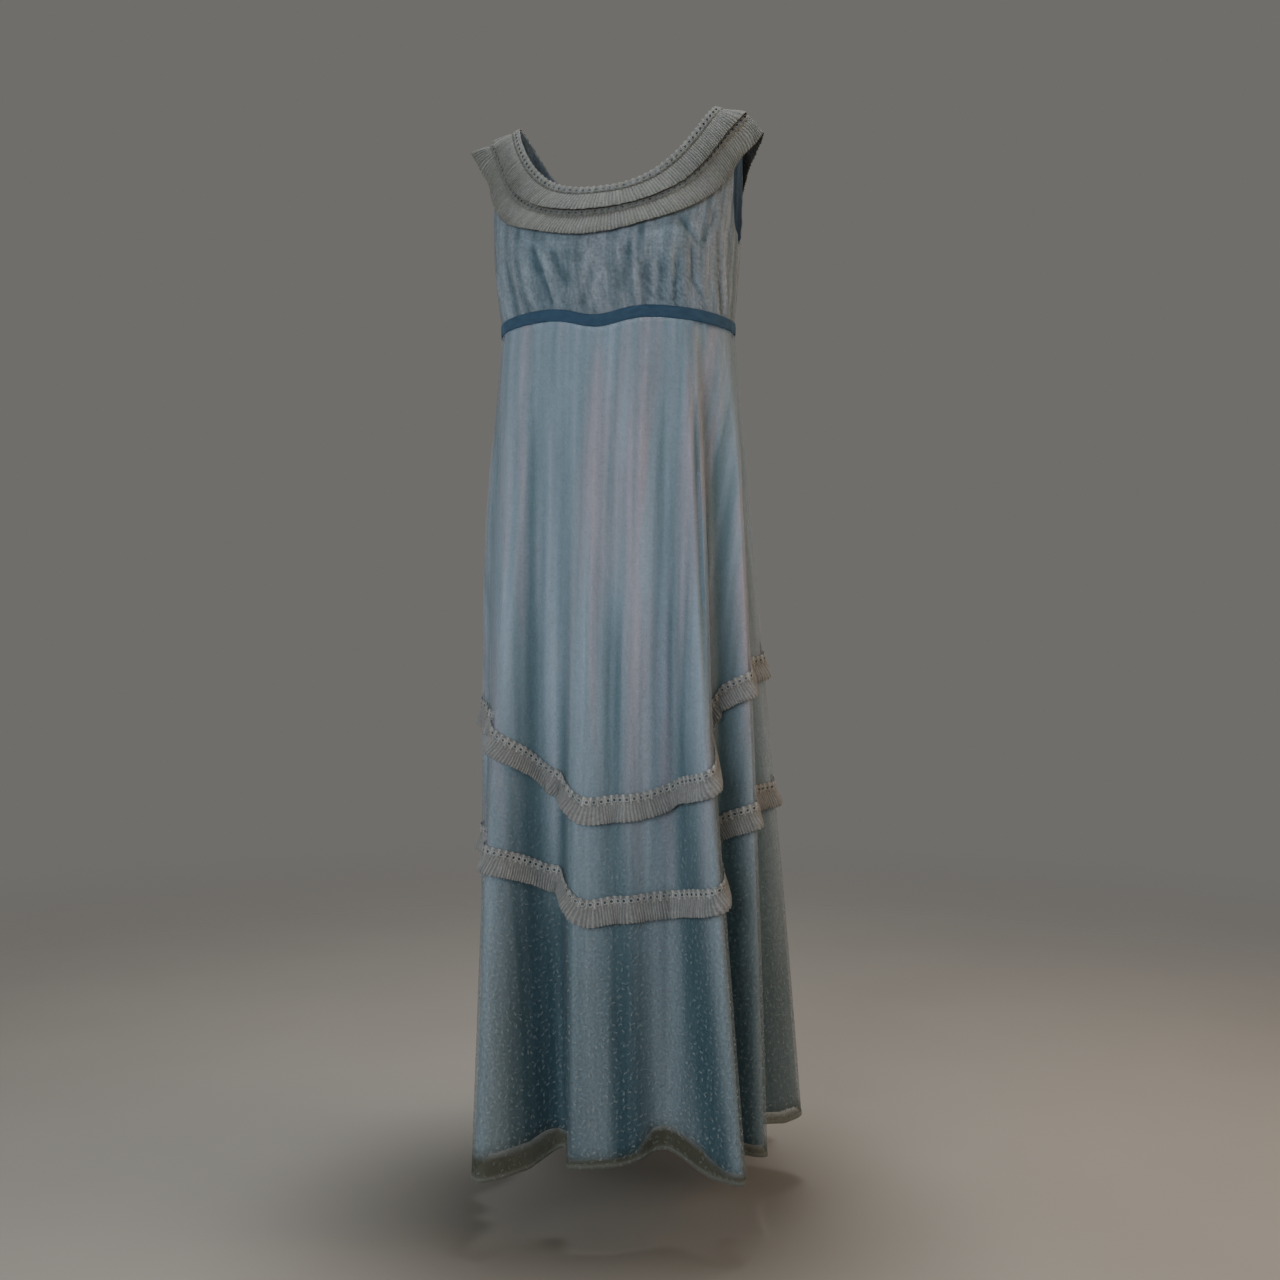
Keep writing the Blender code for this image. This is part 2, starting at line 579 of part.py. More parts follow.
def build_bodice(collection):
    """Bodice front and two backs, and the two rows of trim that lie round the neck. Gives back the
    centre-back line."""
    front_left = bodice_quarter(FRONT_NECK_Z, 0.0, -1.0)
    front_right = bodice_quarter(FRONT_NECK_Z, 0.0, 1.0)[:, ::-1]
    back_left = bodice_quarter(BACK_NECK_Z, -BACK_ANGLE, 1.0)[:, ::-1]
    back_right = bodice_quarter(BACK_NECK_Z, BACK_ANGLE, -1.0)
    ring = np.concatenate([back_left, front_left[:, 1:], front_right[:, 1:], back_right[:, 1:]], axis=1)
    ring[:, 0, 0] = 0.0
    ring[:, -1, 0] = 0.0
    normals = ring_normals(ring)
    side_columns = range(ARMHOLE_COLUMNS, ARMHOLE_COLUMNS + SIDE_SEAM_COLUMNS + 1)
    three_panels("bodice", ring, normals, (QUARTER_COLUMNS, 2 * QUARTER_COLUMNS), side_columns,
                 PANEL_WALL, VOILE, collection)

    loop = np.concatenate([part_for_zip(ring[:, :QUARTER_COLUMNS], -1.0),
                           ring[:, QUARTER_COLUMNS:-QUARTER_COLUMNS],
                           part_for_zip(ring[:, -QUARTER_COLUMNS:], 1.0)], axis=1)
    columns = np.arange(loop.shape[1])
    wave = RUFFLE_WAVE * np.where(columns % 2 == 0, 1.0, -1.0)
    droop = np.full(len(columns), OVERHANG_DROOP)
    for shoulder, at_tip in ((QUARTER_COLUMNS, LEFT_TIP_DROOP), (3 * QUARTER_COLUMNS, RIGHT_TIP_DROOP)):
        near = np.clip(1 - np.abs(columns - shoulder) / TIP_COLUMNS, 0.0, 1.0)
        droop += (at_tip - OVERHANG_DROOP) * near
    for row in NECK_ROWS:
        rows = []
        for down, out, ripple in TRIM_ROWS:
            distance = row.start + (row.edge - row.start) * down
            rows.append(along_columns(loop, normals, distance, out + ripple * wave, droop))
        cloth(row.name, np.array(rows), TRIM_WALL, 1, LACE, collection)
    return ring[:, 0]


def along_columns(points, normals, distance, out, droop):
    """Points at a distance down each column of a panel, measured along the cloth, moved out along the
    normals. Past the panel's edge they go on in the column's last direction, each drooping by its share."""
    steps = np.linalg.norm(np.diff(points, axis=0), axis=-1)
    length = np.concatenate([np.zeros((1, points.shape[1])), np.cumsum(steps, axis=0)])
    out = np.broadcast_to(out, points.shape[1])
    result = np.zeros((points.shape[1], 3))
    for column in range(points.shape[1]):
        reach = length[-1, column]
        at = min(distance, reach)
        place = np.array([np.interp(at, length[:, column], points[:, column, k]) for k in range(3)])
        normal = np.array([np.interp(at, length[:, column], normals[:, column, k]) for k in range(3)])
        normal /= np.linalg.norm(normal)
        ahead = points[-1, column] - points[-2, column]
        fall = droop[column] * min(1.0, (distance - at) / DROOP_OVER)
        ahead = ahead / np.linalg.norm(ahead) - np.array([0.0, 0.0, fall])
        ahead /= np.linalg.norm(ahead)
        result[column] = place + normal * out[column] + ahead * (distance - at)
    return result


def build_ribbon(collection):
    """Velvet ribbon over the empire seam, its two ends meeting at the zip."""
    fine = np.linspace(-BACK_ANGLE, BACK_ANGLE, 3000)
    curve = skirt_point(fine, np.full_like(fine, RIBBON_Z))
    angles = -BACK_ANGLE + 2 * BACK_ANGLE * evenly_along(curve, RIBBON_COLUMNS)
    upper_height = ribbon_height(angles) + RIBBON_TALL / 2
    lower_height = ribbon_height(angles) - RIBBON_TALL / 2
    upper = oval(angles, levelled(angles, upper_height), BODICE_SECTIONS)
    lower = oval(angles, levelled(angles, lower_height), SKIRT_SECTIONS)
    band = np.array([np.stack([*upper, upper_height], axis=-1), np.stack([*lower, lower_height], axis=-1)])
    band += surface_normals(band) * RIBBON_OUT
    half = RIBBON_COLUMNS // 2
    band = np.concatenate([part_for_zip(band[:, :half], -1.0), band[:, half:half + 1],
                           part_for_zip(band[:, half + 1:], 1.0)], axis=1)
    cloth("ribbon", band, RIBBON_WALL, 1, VELVET, collection)


def cut_line(line, top, bottom):
    """The part of a line, whose points run down, between two heights."""
    inside = line[(line[:, 2] < top) & (line[:, 2] > bottom), 2]
    height = np.concatenate([[top], inside, [bottom]])
    across = [np.interp(-height, -line[:, 2], line[:, k]) for k in range(3)]
    return np.stack(across, axis=-1)


def strip(line, half, inward):
    """A strip along a centre-back line, two columns wide, moved inward along the line's normals."""
    along = np.gradient(line, axis=0)
    outward = np.stack([np.zeros(len(line)), -along[:, 2], along[:, 1]], axis=-1)
    outward /= np.linalg.norm(outward, axis=-1, keepdims=True)
    middle = line - outward * inward
    side = np.array([half, 0.0, 0.0])
    return np.stack([middle + side, middle - side], axis=1)


def build_zip(line, collection):
    """Centre-back zip: tape behind the opening, chain in it, and at its top the slider, which is turned to
    the line's slope, with its pull tab."""
    top = line[0, 2] - LAY_GAP
    tape = strip(cut_line(line, top, ZIP_END_Z), TAPE_HALF, TAPE_IN)
    cloth("zip_tape", tape, TAPE_WALL, -1, TAPE, collection)
    chain_line = cut_line(line, SLIDER_Z - SLIDER_LONG / 2 - LAY_GAP, ZIP_END_Z + CHAIN_SHORT)
    cloth("zip_chain", strip(chain_line, CHAIN_HALF, CHAIN_IN), CHAIN_WALL, 1, NICKEL, collection)

    seat = cut_line(line, SLIDER_Z + SLIDER_LONG / 2, SLIDER_Z - SLIDER_LONG / 2)
    slope = math.atan2(seat[-1, 1] - seat[0, 1], seat[0, 2] - seat[-1, 2])
    middle = strip(seat, 0.0, SLIDER_IN)[:, 0].mean(axis=0)
    turn = Matrix.Translation(Vector(middle)) @ Matrix.Rotation(slope, 4, "X")
    build_slider(turn, collection)
    build_pull_tab(turn @ Matrix.Translation((0.0, HINGE_OUT, 0.0)), collection)


def box_mesh(name, size, centre, turn, round_by, upright_axis):
    """A box of a size at a centre, turned, with rounded edges: all of them, or only those along one axis."""
    shape = bmesh.new()
    made = bmesh.ops.create_cube(shape, size=1.0)
    bmesh.ops.scale(shape, vec=size, verts=made["verts"])
    if round_by:
        edges = [edge for edge in shape.edges
                 if upright_axis is None or is_along(edge, upright_axis)]
        bmesh.ops.bevel(shape, geom=edges, offset=round_by, segments=2, profile=0.5, affect="EDGES")
    bmesh.ops.translate(shape, vec=centre, verts=shape.verts)
    bmesh.ops.transform(shape, matrix=turn, verts=shape.verts)
    mesh = bpy.data.meshes.new(name)
    shape.to_mesh(mesh)
    shape.free()
    return mesh


def is_along(edge, axis):
    """True if an edge runs along the axis numbered 0, 1 or 2."""
    run = edge.verts[1].co - edge.verts[0].co
    return abs(run[axis]) > run.length * 0.99


def add_guide(name, mesh):
    """A helper object for a Boolean, kept out of the dress."""
    guide = bpy.data.objects.new(name, mesh)
    guide.hide_render = True
    guide.display_type = "WIRE"
    bpy.data.collections["guides"].objects.link(guide)
    return guide


def add_boolean(thing, guide, operation):
    """Joins a helper's form to an object, or cuts it out."""
    boolean = thing.modifiers.new(guide.name, "BOOLEAN")
    boolean.operation = operation
    boolean.solver = "EXACT"
    boolean.object = guide


def build_slider(turn, collection):
    """Slider body with the bridge that its pull tab hangs on. Before it's turned it faces +Y, its bottom
    end at -Z."""
    body = box_mesh("zip_slider", (SLIDER_WIDE, SLIDER_DEEP, SLIDER_LONG), (0.0, SLIDER_DEEP / 2, 0.0),
                    turn, SLIDER_ROUND, None)
    slider = add_object("zip_slider", body, NICKEL, collection)
    path = [(BRIDGE_FOOT, BRIDGE_HALF), (BRIDGE_TOP - BRIDGE_CORNER, BRIDGE_HALF),
            (BRIDGE_TOP, BRIDGE_HALF - BRIDGE_CORNER), (BRIDGE_TOP, -BRIDGE_HALF + BRIDGE_CORNER),
            (BRIDGE_TOP - BRIDGE_CORNER, -BRIDGE_HALF), (BRIDGE_FOOT, -BRIDGE_HALF)]
    points = [turn @ Vector((side * BRIDGE_WIDE / 2, y, z)) for y, z in path for side in (1, -1)]
    faces = [(2 * k, 2 * k + 1, 2 * k + 3, 2 * k + 2) for k in range(len(path) - 1)]
    mesh = bpy.data.meshes.new("slider_bridge")
    mesh.from_pydata([tuple(point) for point in points], [], faces)
    bridge = add_guide("slider_bridge", mesh)
    solid = bridge.modifiers.new("wall", "SOLIDIFY")
    solid.thickness = BRIDGE_WALL
    solid.offset = 0.0
    solid.use_even_offset = True
    add_boolean(slider, bridge, "UNION")


def build_pull_tab(turn, collection):
    """Flat pull tab with a square eye, hanging from its top bar, which lies along X at the turn's middle."""
    centre = (0.0, 0.0, TAB_BAR / 2 - TAB_LONG / 2)
    plate = box_mesh("zip_pull_tab", (TAB_WIDE, TAB_THICK, TAB_LONG), centre, turn, TAB_ROUND, 1)
    tab = add_object("zip_pull_tab", plate, NICKEL, collection)
    eye = box_mesh("tab_eye", (TAB_EYE_WIDE, 4 * TAB_THICK, TAB_EYE_LONG),
                   (0.0, 0.0, -TAB_BAR / 2 - TAB_EYE_LONG / 2), turn, 0.0, None)
    add_boolean(tab, add_guide("tab_eye", eye), "DIFFERENCE")


def main():
    for thing in list(bpy.data.objects):
        bpy.data.objects.remove(thing, do_unlink=True)
    dress = bpy.data.collections.new(COLLECTION)
    guides = bpy.data.collections.new("guides")
    bpy.context.scene.collection.children.link(dress)
    bpy.context.scene.collection.children.link(guides)
    bodice_back = build_bodice(dress)
    build_ribbon(dress)
    skirt_back = build_skirt(dress)
    build_zip(np.concatenate([bodice_back, skirt_back[1:]]), dress)
    bpy.context.view_layer.update()


main()
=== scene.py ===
"""Ruffled evening dress: cloth, lace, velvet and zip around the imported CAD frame.

Metres, +Z up, front at -Y, the origin between the shoulder seams. A point on the dress has an angle round
the body (0 centre front, +90 at +X, 180 centre back) and a height.
"""
import math
from collections import namedtuple

import bpy
import numpy as np
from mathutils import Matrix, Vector


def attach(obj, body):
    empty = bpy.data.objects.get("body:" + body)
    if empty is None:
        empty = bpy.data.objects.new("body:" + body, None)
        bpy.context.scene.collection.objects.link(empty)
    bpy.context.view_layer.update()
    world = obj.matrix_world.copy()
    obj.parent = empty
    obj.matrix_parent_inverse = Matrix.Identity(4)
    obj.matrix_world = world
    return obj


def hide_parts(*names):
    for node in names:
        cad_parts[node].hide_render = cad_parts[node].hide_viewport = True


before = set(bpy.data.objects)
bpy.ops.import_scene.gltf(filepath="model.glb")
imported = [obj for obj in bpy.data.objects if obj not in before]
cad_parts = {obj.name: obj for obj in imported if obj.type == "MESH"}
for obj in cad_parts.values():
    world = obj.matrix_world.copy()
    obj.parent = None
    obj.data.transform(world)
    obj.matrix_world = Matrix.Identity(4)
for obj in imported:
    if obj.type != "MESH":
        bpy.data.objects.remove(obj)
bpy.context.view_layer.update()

# Satin lining of the skirt: three panels of pale blue satin, front and two backs, cut A-line, sewn at the
# sides and centre back and hung from the empire seam inside the voile, its hem 10 to 33 mm above the
# voile's. Its folds are the dress's folds, so the form under every other piece is worked out here.
RIBBON_Z = -0.289
RIBBON_LIFT = 0.004
RIBBON_DIP = 0.013
DIP_ANGLE = 13.0
RIBBON_FALL = 0.011
RIBBON_TILT = 0.004
LEVEL_FADE = 0.080
# The hem and how far valleys draw it up, where along the skirt folds begin to lean, how flat the oval is
HEM_Z = -1.400
HEM_RISE = 0.35
LEAN_START = 0.50
FLATTEN = 0.03
LINING_IN = 0.0040
LINING_ROWS = 70
SATIN_THICK = 0.0005
# The side seams: their angle, the groove along them, and the back panels' allowance inside the front
SEAM_ANGLE = 90.0
SEAM_SUNK = 0.0012
SEAM_WIDE = 0.8
SEAM_TUCK = 0.0007
TUCK_BEHIND = 0.3
TUCK_FADE = 0.8
# The height at which a panel's columns stand at equal lengths of cloth
SPREAD_Z = -1.02
FINE_STEPS = 3000
# The opening that the zip closes, wider beside its slider, and how far out cloth moves sideways for it
ZIP_END_Z = -0.470
ZIP_HALF_GAP = 0.0015
SLIDER_HALF_GAP = 0.0055
SLIDER_NOTCH_Z = -0.150
NOTCH_TAPER = 0.012
ZIP_PULL_IN = 0.050

Section = namedtuple("Section", "height half_width front back")
SKIRT_SECTIONS = [
    Section(RIBBON_Z, 0.163, 0.085, 0.075),
    Section(-0.400, 0.172, 0.099, 0.094),
    Section(-0.550, 0.182, 0.112, 0.126),
    Section(-0.700, 0.191, 0.124, 0.162),
    Section(-0.850, 0.199, 0.134, 0.200),
    Section(-1.000, 0.206, 0.143, 0.238),
    Section(-1.150, 0.212, 0.150, 0.275),
    Section(-1.300, 0.217, 0.155, 0.310),
    Section(-1.430, 0.221, 0.158, 0.335),
]
# How far the satin stops above the voile's hem, by the angle round the body
LiningHem = namedtuple("LiningHem", "angle short")
LINING_HEMS = [
    LiningHem(-180, 0.022), LiningHem(-60, 0.022), LiningHem(-40, 0.033), LiningHem(-15, 0.033),
    LiningHem(-7, 0.012), LiningHem(16, 0.010), LiningHem(23, 0.030), LiningHem(37, 0.030),
    LiningHem(42, 0.014), LiningHem(90, 0.014), LiningHem(180, 0.022),
]
# Ridges (depth +) and valleys (-) in order round the body, from the ribbon's angle to the hem's
Fold = namedtuple("Fold", "ribbon_angle hem_angle depth start power lean")
FOLDS = [
    Fold(-166, -166, -0.036, 0.10, 1.0, 0.000),
    Fold(-150, -149, 0.034, 0.05, 1.0, 0.000),
    Fold(-134, -132, -0.040, 0.08, 1.0, 0.000),
    Fold(-117, -115, -0.004, 0.10, 1.0, 0.000),
    Fold(-101, -99, -0.048, 0.25, 1.0, 0.000),
    Fold(-84, -82, -0.030, 0.32, 1.0, 0.000),
    Fold(-68, -66, -0.052, 0.25, 1.0, 0.000),
    Fold(-56, -53, -0.030, 0.20, 1.0, 0.000),
    Fold(-47, -43, -0.040, 0.22, 1.0, 0.000),
    Fold(-34, -25, 0.060, 0.06, 1.0, -0.003),
    Fold(-19, -10, -0.047, 0.16, 1.0, 0.000),
    Fold(-9, -5, -0.014, 0.10, 1.0, 0.000),
    Fold(14, 10, -0.024, 0.10, 1.0, 0.000),
    Fold(33, 27, -0.064, 0.12, 1.0, 0.000),
    Fold(45, 47, 0.024, 0.00, 1.0, 0.026),
    Fold(54, 62, -0.058, 0.00, 0.6, 0.000),
    Fold(80, 83, -0.008, 0.00, 1.0, 0.000),
    Fold(101, 100, -0.028, 0.15, 1.0, 0.000),
    Fold(118, 116, 0.024, 0.08, 1.0, 0.000),
    Fold(134, 132, -0.040, 0.08, 1.0, 0.000),
    Fold(150, 149, 0.034, 0.05, 1.0, 0.000),
    Fold(166, 166, -0.036, 0.10, 1.0, 0.000),
    Fold(180, 180, 0.020, 0.12, 1.0, 0.000),
]
# Soft troughs (-) and ridges (+) laid over them: a bell across the cloth, so wide in degrees, between two
# shares of the skirt's length
SoftFold = namedtuple("SoftFold", "ribbon_angle hem_angle depth width start end")
SOFT_FOLDS = [
    SoftFold(-64, -58, -0.0030, 5.0, 0.02, 1.40), SoftFold(-44, -23, 0.0036, 5.0, 0.03, 1.40),
    SoftFold(-26.5, -15.5, -0.0034, 3.2, 0.02, 0.40), SoftFold(-26.5, -15.5, -0.0072, 3.4, 0.26, 1.40),
    SoftFold(-20, -8, 0.0042, 2.2, 0.02, 0.72), SoftFold(-12.5, -7.5, -0.0032, 2.4, 0.04, 0.60),
    SoftFold(-12.5, -7.5, -0.0056, 2.8, 0.42, 1.40), SoftFold(-12, -12.5, -0.0052, 4.0, 0.64, 1.40),
    SoftFold(-3.5, 2.5, 0.0026, 3.6, 0.04, 1.40), SoftFold(5.5, 13, -0.0042, 3.2, 0.28, 1.40),
    SoftFold(10, 14.5, -0.0026, 4.5, 0.62, 1.40), SoftFold(16, 29, 0.0046, 6.0, 0.03, 1.40),
    SoftFold(27, 41, -0.0030, 3.0, 0.03, 0.60), SoftFold(27, 41, -0.0062, 3.2, 0.42, 1.40),
    SoftFold(40.5, 45, 0.0040, 2.4, 0.02, 1.40), SoftFold(45.4, 45.4, -0.0056, 1.0, 0.02, 0.50),
    SoftFold(50, 50, 0.0034, 2.5, 0.02, 0.46), SoftFold(65, 74, -0.0068, 6.2, 0.10, 1.40),
    SoftFold(78, 81, 0.0046, 4.4, 0.04, 1.40), SoftFold(93, 93, -0.0026, 3.6, 0.05, 0.90),
    SoftFold(104, 102, -0.0050, 4.6, 0.20, 1.40), SoftFold(112, 110, 0.0030, 3.0, 0.06, 0.85),
    SoftFold(124, 122, 0.0036, 3.4, 0.05, 1.40), SoftFold(136, 133, -0.0056, 4.4, 0.16, 1.40),
    SoftFold(143, 141, 0.0032, 2.6, 0.04, 0.70), SoftFold(152, 151, -0.0036, 3.0, 0.08, 0.90),
    SoftFold(159, 158, 0.0036, 3.0, 0.04, 1.40), SoftFold(168, 167, -0.0052, 3.6, 0.20, 1.40),
    SoftFold(174, 175, 0.0028, 2.6, 0.16, 0.95), SoftFold(-174, -174, 0.0030, 2.6, 0.18, 0.90),
    SoftFold(-167, -167, -0.0052, 3.8, 0.14, 1.40), SoftFold(-158, -157, 0.0038, 3.2, 0.04, 1.40),
    SoftFold(-147, -147, -0.0034, 3.0, 0.06, 0.80), SoftFold(-140, -139, 0.0030, 2.6, 0.05, 0.75),
    SoftFold(-132, -130, -0.0056, 4.6, 0.18, 1.40), SoftFold(-122, -120, 0.0034, 3.4, 0.06, 1.40),
    SoftFold(-111, -110, -0.0030, 3.0, 0.04, 0.80), SoftFold(-101, -99, -0.0052, 4.8, 0.25, 1.40),
    SoftFold(-90, -88, 0.0036, 4.0, 0.10, 1.40), SoftFold(-77, -76, 0.0028, 4.0, 0.05, 1.40),
]
FOLD_FADE = 0.16
# Faint long waves in all of the cloth: count round the body, turns down its length, height, phase
Ripple = namedtuple("Ripple", "count twist height phase")
RIPPLES = [Ripple(23, 0.6, 0.0007, 0.4), Ripple(37, -0.9, 0.0005, 2.1), Ripple(61, 1.4, 0.0003, 4.4)]
RIPPLE_FADE = 0.2
# Short gathers just below the empire seam, closer together and further apart by turns
GATHER_COUNT = 58
GATHER_HEIGHT = 0.0008
GATHER_LONG = 0.06
GATHER_UNEVEN = 1.7
UNEVEN_COUNT = 7
SEAM_FADE = 0.012
GROOVE_FADE = 0.01
# How much painted light or shade a point of cloth gets from the folds
RELIEF_LIFT = 0.10
RELIEF_MAIN = 0.30
MAIN_DEPTH, MAIN_DEPTH_MORE = 0.050, 0.030
SOFT_DEPTH = 0.0042
SOFT_SHARE, SOFT_SHARE_MORE = 0.66, 0.62
RIPPLE_DEPTH = 0.006


def curve_through(x, xs, ys):
    """Cubic curve through the points xs, ys, read at x. Its slope at a point is its neighbours' slope."""
    xs = np.asarray(xs, float)
    ys = np.asarray(ys, float)
    slopes = np.gradient(ys, xs)
    left = np.clip(np.searchsorted(xs, x, side="right") - 1, 0, len(xs) - 2)
    span = xs[left + 1] - xs[left]
    t = (x - xs[left]) / span
    start = ys[left] * (1 + 2 * t) * (1 - t) ** 2 + slopes[left] * span * t * (1 - t) ** 2
    end = ys[left + 1] * t * t * (3 - 2 * t) + slopes[left + 1] * span * t * t * (t - 1)
    return start + end


def soft_step(x):
    """0 below 0, 1 above 1, and 3x^2 - 2x^3 between."""
    x = np.clip(x, 0.0, 1.0)
    return x * x * (3 - 2 * x)


def oval(angle, height, sections):
    """x and y of the body form: half width times 1.03 sin a + 0.03 sin 3a, and depth times
    1.03 cos a - 0.03 cos 3a, with the tables read against the square root of the depth below the origin."""
    depth = np.sqrt(np.clip(-np.asarray(height, float), 0.0, None))
    keys = [math.sqrt(-row.height) for row in sections]
    half_width = curve_through(depth, keys, [row.half_width for row in sections])
    front = curve_through(depth, keys, [row.front for row in sections])
    back = curve_through(depth, keys, [row.back for row in sections])
    turn = np.radians(angle)
    across = (1 + FLATTEN) * np.sin(turn) + FLATTEN * np.sin(3 * turn)
    ahead = (1 + FLATTEN) * np.cos(turn) - FLATTEN * np.cos(3 * turn)
    return half_width * across, np.where(ahead > 0, -front * ahead, -back * ahead)


def ribbon_height(angle):
    """Height of the empire seam: raised over the cups, less a bell at the centre front, less the square of
    the angle's sine for the sides, less its sine for a tilt to +X."""
    turn = np.radians(angle)
    return (RIBBON_Z + RIBBON_LIFT - RIBBON_DIP * np.exp(-(angle / DIP_ANGLE) ** 2)
            - RIBBON_FALL * np.sin(turn) ** 2 - RIBBON_TILT * np.sin(turn))


def levelled(angle, height):
    """The height less the seam's rise at that angle, which fades out over LEVEL_FADE above and below."""
    near = np.clip(1 - np.abs(height - RIBBON_Z) / LEVEL_FADE, 0.0, 1.0)
    return height - (ribbon_height(angle) - RIBBON_Z) * near


def main_folds(angle, share):
    """Outward shift and sideways lean at a share of the skirt's length. Each fold's depth grows from its
    start to the hem and its lean over the lower half. Between neighbours both follow half a cosine."""
    before = FOLDS[-1]._replace(ribbon_angle=FOLDS[-1].ribbon_angle - 360.0,
                                hem_angle=FOLDS[-1].hem_angle - 360.0)
    after = FOLDS[0]._replace(ribbon_angle=FOLDS[0].ribbon_angle + 360.0,
                              hem_angle=FOLDS[0].hem_angle + 360.0)
    row = [before] + FOLDS + [after]
    outward = np.zeros(np.broadcast(angle, share).shape)
    lean = np.zeros_like(outward)
    leaning = np.clip((share - LEAN_START) / (1.0 - LEAN_START), 0.0, None)
    for low, high in zip(row, row[1:]):
        low_at = low.ribbon_angle + (low.hem_angle - low.ribbon_angle) * share
        high_at = high.ribbon_angle + (high.hem_angle - high.ribbon_angle) * share
        between = (angle - low_at) / (high_at - low_at)
        inside = (between >= 0.0) & (between < 1.0)
        mix = 0.5 - 0.5 * np.cos(np.pi * between)
        low_grown = np.clip((share - low.start) / (1 - low.start), 0.0, None) ** low.power
        high_grown = np.clip((share - high.start) / (1 - high.start), 0.0, None) ** high.power
        depth = low.depth * low_grown * (1 - mix) + high.depth * high_grown * mix
        sideways = (low.lean * (1 - mix) + high.lean * mix) * leaning
        outward = np.where(inside, depth, outward)
        lean = np.where(inside, sideways, lean)
    return outward, lean


def soft_folds(angle, share):
    """Sum of bells, depth * exp(-(degrees off the fold's line / width)^2), each faded in and out along
    its fold."""
    total = np.zeros(np.broadcast(angle, share).shape)
    for fold in SOFT_FOLDS:
        middle = fold.ribbon_angle + (fold.hem_angle - fold.ribbon_angle) * share
        off = (angle - middle + 180.0) % 360.0 - 180.0
        fade = soft_step((share - fold.start) / FOLD_FADE) * soft_step((fold.end - share) / FOLD_FADE)
        total += fold.depth * fade * np.exp(-(off / fold.width) ** 2)
    return total


def ripples(angle, share):
    """Long faint sine waves, the gathers that die away below the seam, and a groove at each side seam."""
    turn = np.radians(angle)
    total = np.zeros(np.broadcast(angle, share).shape)
    for ripple in RIPPLES:
        wave = np.sin(ripple.count * turn + 2 * np.pi * ripple.twist * share + ripple.phase)
        total += ripple.height * wave * soft_step(share / RIPPLE_FADE)
    gather = np.sin(GATHER_COUNT * turn + GATHER_UNEVEN * np.sin(UNEVEN_COUNT * turn))
    total += GATHER_HEIGHT * gather * soft_step(share / SEAM_FADE) * np.exp(-share / GATHER_LONG)
    seam = np.exp(-((np.abs(angle) - SEAM_ANGLE) / SEAM_WIDE) ** 2)
    return total - SEAM_SUNK * seam * soft_step(share / GROOVE_FADE)


def skirt_share(height):
    """Share of the skirt's length at a height, 0 at the ribbon and 1 at the hem."""
    return np.clip((RIBBON_Z - height) / (RIBBON_Z - HEM_Z), 0.0, None)


def skirt_point(angle, height, fine=True):
    """A point of the folded skirt: the oval's point, shifted along the oval's plan normal by the folds'
    depth and along its tangent by their lean. Fine adds the soft folds and ripples."""
    level = levelled(angle, height)
    share = skirt_share(level)
    x, y = oval(angle, level, SKIRT_SECTIONS)
    x_next, y_next = oval(angle + 0.5, level, SKIRT_SECTIONS)
    x_last, y_last = oval(angle - 0.5, level, SKIRT_SECTIONS)
    length = np.hypot(x_next - x_last, y_next - y_last)
    along_x = (x_next - x_last) / length
    along_y = (y_next - y_last) / length
    outward, lean = main_folds(angle, share)
    if fine:
        outward = outward + soft_folds(angle, share) + ripples(angle, share)
    return np.stack([x + along_y * outward + along_x * lean, y - along_x * outward + along_y * lean,
                     np.broadcast_to(height, x.shape)], axis=-1)


def hem_height(angle):
    """The hem hangs level at the ridges and is drawn up by a third of the depth of the valleys."""
    outward, _ = main_folds(angle, np.ones_like(angle))
    return HEM_Z + HEM_RISE * np.clip(-outward, 0.0, None)


def part_for_zip(points, side):
    """Points near the centre back drawn together sideways, so that the edge stands at the zip's half gap
    for its height, and shut below the zip."""
    x = points[..., 0]
    height = points[..., 2]
    notch = np.clip((height - SLIDER_NOTCH_Z) / NOTCH_TAPER, 0.0, 1.0)
    shut = np.clip((ZIP_END_Z - height) / NOTCH_TAPER, 0.0, 1.0)
    gap = (ZIP_HALF_GAP + (SLIDER_HALF_GAP - ZIP_HALF_GAP) * notch) * (1 - shut)
    near = (points[..., 1] > 0) & (np.abs(x) < ZIP_PULL_IN)
    result = points.copy()
    result[..., 0] = np.where(near, side * (gap + np.abs(x) * (1 - gap / ZIP_PULL_IN)), x)
    return result


def seam_tuck(angle, side):
    """How far a back panel's seam allowance lies inside the front panel: nothing just behind the side
    seam, growing to all of it just in front. The front panel, side 0, has none."""
    return abs(side) * SEAM_TUCK * soft_step((SEAM_ANGLE + TUCK_BEHIND - np.abs(angle)) / TUCK_FADE)


def lining_short(angle):
    """How far the satin stops above the voile's hem: straight between the table's rows."""
    return np.interp(angle, [row.angle for row in LINING_HEMS], [row.short for row in LINING_HEMS])


def surface_normals(points):
    """Outward normals of a grid: the cross product of its steps down and across."""
    normal = np.cross(np.gradient(points, axis=0), np.gradient(points, axis=1))
    return normal / np.linalg.norm(normal, axis=-1, keepdims=True)


def lengths_along(curve):
    """The length of a curve from its start to each of its points."""
    steps = np.linalg.norm(np.diff(curve, axis=0), axis=1)
    return np.concatenate([[0.0], np.cumsum(steps)])


def evenly_spread(start, end, count, height):
    """count + 1 angles from start to end at equal lengths of the skirt's cloth at a height."""
    fine = np.linspace(start, end, FINE_STEPS)
    length = lengths_along(skirt_point(fine, np.full_like(fine, height), fine=False))
    return np.interp(np.linspace(0.0, length[-1], count + 1), length, fine)


